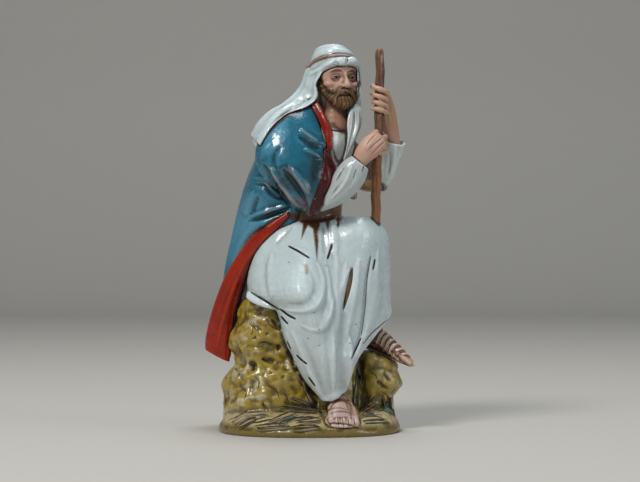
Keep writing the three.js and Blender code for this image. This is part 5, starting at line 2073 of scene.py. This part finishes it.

# %% [markdown]
# ## Paint
#
# Each finish could be a material with nodes of its own. Here one group mixes the paint for every
# piece: a coat with brushed patches, the brush marks, the rubbed edges, and the wash in hollows
# and joins on top. Colours and amounts change from piece to piece. The glossy varnish is a clear
# coat in each material itself, and the dull finishes have none.

# %% The shared paint group
def paint_group():
    group = bpy.data.node_groups.new("hand_painted", "ShaderNodeTree")
    face = group.interface
    for name in ("Coat", "Patch", "Wash Colour", "Edge Colour"):
        face.new_socket(name, in_out="INPUT", socket_type="NodeSocketColor")
    for name in ("Patch Amount", "Wash Amount", "Edge Amount", "Join Amount"):
        face.new_socket(name, in_out="INPUT", socket_type="NodeSocketFloat")
    face.new_socket("Color", in_out="OUTPUT", socket_type="NodeSocketColor")
    face.new_socket("Roughness", in_out="OUTPUT", socket_type="NodeSocketFloat")
    face.new_socket("Height", in_out="OUTPUT", socket_type="NodeSocketFloat")
    nodes, links = group.nodes, group.links
    source, sink = nodes.new("NodeGroupInput"), nodes.new("NodeGroupOutput")
    place = nodes.new("ShaderNodeTexCoord")

    def node(kind, *values, **settings):
        """A new node. Its first sockets take numbers or links, and None leaves one alone."""
        made = nodes.new("ShaderNode" + kind)
        for name, value in settings.items():
            setattr(made, name, value)
        for socket, value in zip(made.inputs, values):
            if isinstance(value, (int, float)):
                socket.default_value = value
            elif value is not None:
                links.new(value, socket)
        return made

    def noise(scale, detail):
        return node("TexNoise", place.outputs["Object"], None, scale, detail).outputs["Fac"]

    def number(kind, a, b, clamp=False):
        return node("Math", a, b, operation=kind, use_clamp=clamp).outputs[0]

    def times(a, b, clamp=False):
        return number("MULTIPLY", a, b, clamp)

    def ramp(value, low, high):
        return node("MapRange", value, low, high).outputs["Result"]

    def measured(name):
        return node("Attribute", attribute_name=name).outputs

    def blend(amount, first, second):
        return node("Mix", amount, *5 * [None], first, second, data_type="RGBA").outputs[2]

    patches = ramp(noise(260, 3), 0.42, 0.62)
    ragged = noise(1100, 2)
    patchy = times(patches, source.outputs["Patch Amount"], clamp=True)
    color = blend(patchy, source.outputs["Coat"], source.outputs["Patch"])
    marks = measured("paint")
    color = blend(marks["Alpha"], color, marks["Color"])
    edge = number("ADD", measured("edge")["Fac"], times(ragged, 0.8))
    edge = times(ramp(edge, 0.7, 1.3), source.outputs["Edge Amount"], clamp=True)
    color = blend(edge, color, source.outputs["Edge Colour"])
    wash = times(measured("wash")["Fac"], number("ADD", ragged, 0.5))
    wash = times(wash, source.outputs["Wash Amount"])
    join = number("ADD", measured("join")["Fac"], times(ragged, 0.35))
    join = times(ramp(join, 0.62, 1.0), source.outputs["Join Amount"])
    dark = number("MAXIMUM", wash, join, clamp=True)
    links.new(blend(dark, color, source.outputs["Wash Colour"]), sink.inputs["Color"])
    links.new(ramp(noise(500, 2), 0.0, 2.1), sink.inputs["Roughness"])
    height = number("ADD", times(noise(520, 3), 0.75), times(noise(1700, 2), 0.25))
    links.new(height, sink.inputs["Height"])
    return group


PAINT_GROUP = paint_group()
print("paint group with", len(PAINT_GROUP.nodes), "nodes")


# %% A varnished material
def painted(name, coat, patch, wash, edge, patch_amount=0.5, wash_amount=1.0, edge_amount=0.3,
            join_amount=1.0, relief=0.6, dull=0.0, shine=0.5):
    """A material from four colours as a screen shows them. dull is a roughness without varnish."""
    material = bpy.data.materials.new(name)
    material.use_nodes = True
    nodes, links = material.node_tree.nodes, material.node_tree.links
    shader = nodes["Principled BSDF"]
    mixer = nodes.new("ShaderNodeGroup")
    mixer.node_tree = PAINT_GROUP
    for socket, color in (("Coat", coat), ("Patch", patch), ("Wash Colour", wash), ("Edge Colour", edge)):
        mixer.inputs[socket].default_value = paint(*color)
    for socket, value in (("Patch Amount", patch_amount), ("Wash Amount", wash_amount),
                          ("Edge Amount", edge_amount), ("Join Amount", join_amount)):
        mixer.inputs[socket].default_value = value
    bump = nodes.new("ShaderNodeBump")
    bump.inputs["Strength"].default_value = relief
    bump.inputs["Distance"].default_value = 0.3 * MM
    links.new(mixer.outputs["Color"], shader.inputs["Base Color"])
    if dull:
        shader.inputs["Roughness"].default_value = dull
    else:
        links.new(mixer.outputs["Roughness"], shader.inputs["Roughness"])
    links.new(mixer.outputs["Height"], bump.inputs["Height"])
    links.new(bump.outputs["Normal"], shader.inputs["Normal"])
    for socket, value in (("IOR", 1.5), ("Specular IOR Level", shine),
                          ("Coat Weight", 0.0 if dull else 0.15), ("Coat Roughness", 0.07)):
        shader.inputs[socket].default_value = value


print("a painted material takes four colours")

# %% A paint for each finish
DARK_WASH = (44, 28, 22)
painted("white_paint", (192, 207, 209), (179, 194, 194), (100, 84, 72),
        (220, 228, 230), wash_amount=0.28, edge_amount=0.4, join_amount=0.9)
painted("teal_paint", (20, 98, 122), (12, 76, 96), (6, 24, 30),
        (84, 150, 168), wash_amount=0.7, edge_amount=0.25)
painted("red_paint", (150, 33, 2), (120, 24, 2), (44, 14, 10),
        (190, 58, 26), wash_amount=0.7, edge_amount=0.25, shine=0.25)
painted("flesh_paint", (188, 150, 130), (170, 128, 106), (84, 52, 38),
        (204, 168, 148), patch_amount=0.3, wash_amount=0.8, edge_amount=0.3, relief=0.3,
        dull=0.42)
painted("beard_paint", (100, 74, 44), (76, 54, 32), (34, 24, 16),
        (140, 116, 80), wash_amount=0.7, edge_amount=0.3, relief=0.3, dull=0.55,
        shine=0.15)
painted("cord_paint", (164, 116, 84), (138, 94, 66), DARK_WASH,
        (186, 148, 118), join_amount=0.3)
painted("wood_paint", (104, 70, 50), (80, 52, 38), (38, 26, 22),
        (150, 106, 76), patch_amount=0.8)
painted("strap_paint", (210, 178, 152), (190, 154, 126), (58, 38, 28),
        (204, 172, 150), wash_amount=0.7, join_amount=0.3)
painted("stone_paint", (152, 130, 40), (124, 102, 30), (52, 36, 20),
        (180, 158, 84), patch_amount=0.45, wash_amount=0.6, edge_amount=0.25)
LINE_LOOK = dict(wash=DARK_WASH, edge=DARK_WASH, relief=0.1, dull=0.4, shine=0.3)
painted("dark_paint", (26, 18, 18), (40, 28, 24), **LINE_LOOK)
painted("cream_paint", (176, 160, 144), (164, 148, 130), **LINE_LOOK)
painted("umber_paint", (98, 72, 46), (66, 48, 36), **LINE_LOOK)
painted("brown_paint", (72, 42, 30), (60, 36, 28), **LINE_LOOK)
painted("grass_paint", (110, 104, 60), (96, 92, 70), (44, 34, 24),
        (150, 134, 92), wash_amount=0.4, edge_amount=0.2, join_amount=0.35,
        dull=0.5, shine=0.3)

# %% Each piece gets its paint
FINISHES = {
    tunic: "white_paint", sleeves: "white_paint", head_cloth: "white_paint", cloak: "teal_paint",
    lining: "red_paint", staff: "wood_paint", hands: "flesh_paint", head: "flesh_paint",
    beard: "beard_paint", cord: "cord_paint", feet: "flesh_paint", sandals: "strap_paint",
    rocks: "stone_paint", grass: "grass_paint",
}
for kind in ("dark", "brown", "umber", "cream"):
    FINISHES[LINES[kind]] = kind + "_paint"
for piece, finish in FINISHES.items():
    piece.data.materials.clear()
    piece.data.materials.append(bpy.data.materials[finish])
    choose([piece])
    bpy.ops.object.shade_smooth()
print(len(bpy.data.materials), "materials")

# %% [markdown]
# ## Floor and light
#
# A pale floor that curves up far behind the figure gives a plain ground with no horizon line. A
# picture of a room could light it, but lamps are easier to read: one soft lamp at the front left,
# a weaker one on the right, one above and a pale sky give the varnish its highlights.

# %% Floor
bpy.ops.mesh.primitive_plane_add(size=3, location=(0, -0.7, 0))
floor = bpy.context.object
floor.name = "floor"
bpy.ops.object.mode_set(mode="EDIT")
bpy.ops.mesh.select_mode(type="EDGE")
bpy.ops.mesh.select_all(action="DESELECT")
bpy.ops.object.mode_set(mode="OBJECT")
for edge in floor.data.edges:
    edge.select = all(floor.data.vertices[i].co.y > 1 for i in edge.vertices)
bpy.ops.object.mode_set(mode="EDIT")
BEND_STEPS, BEND_STEP, WALL_HEIGHT = 10, 0.03, 1.2
for i in range(BEND_STEPS):
    a = radians(90 * (i + 0.5) / BEND_STEPS)
    step = (0, BEND_STEP * cos(a), BEND_STEP * sin(a))
    bpy.ops.mesh.extrude_region_move(TRANSFORM_OT_translate={"value": step})
bpy.ops.mesh.extrude_region_move(TRANSFORM_OT_translate={"value": (0, 0, WALL_HEIGHT)})
bpy.ops.object.mode_set(mode="OBJECT")
bpy.ops.object.shade_smooth()
floor_material = bpy.data.materials.new("pale_floor")
floor_material.use_nodes = True
floor_shader = floor_material.node_tree.nodes["Principled BSDF"]
floor_shader.inputs["Base Color"].default_value = (0.5, 0.48, 0.44, 1)
floor_shader.inputs["Roughness"].default_value = 0.6
floor.data.materials.append(floor_material)
print("floor", len(floor.data.polygons), "faces")

# %% Lights
bpy.context.scene.view_settings.view_transform = "Standard"
world = bpy.data.worlds.new("studio")
bpy.context.scene.world = world
world.use_nodes = True
world.node_tree.nodes["Background"].inputs["Color"].default_value = (0.82, 0.88, 0.95, 1)
world.node_tree.nodes["Background"].inputs["Strength"].default_value = 0.3


def softbox(name, location, size, watts, color):
    """A soft area light that looks at the figure's middle."""
    bpy.ops.object.light_add(type="AREA", location=location)
    lamp = bpy.context.object
    lamp.name = name
    lamp.data.size = size
    lamp.data.energy = watts
    lamp.data.color = color
    look = Vector((0, 0, 0.05)) - Vector(location)
    lamp.rotation_euler = look.to_track_quat("-Z", "Y").to_euler()


softbox("key", (-0.32, -0.5, 0.6), 0.2, 4.2, (1, 0.98, 0.95))
softbox("fill", (0.65, -0.35, 0.3), 0.3, 1.0, (0.9, 0.95, 1))
softbox("top", (0.05, 0.1, 0.7), 0.3, 2.0, (0.95, 0.98, 1))
print(len(bpy.data.lights), "lights")

# %% [markdown]
# ## Hand over to the frame
#
# Every piece rides on the one body and stands for the one solid.

# %% Ride, replace and finish
for piece in FINISHES:
    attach(piece, BODY)
    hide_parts(NODE)
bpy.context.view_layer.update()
triangles = sum(len(face.vertices) - 2 for piece in FINISHES for face in piece.data.polygons)
print(triangles, "triangles in all")
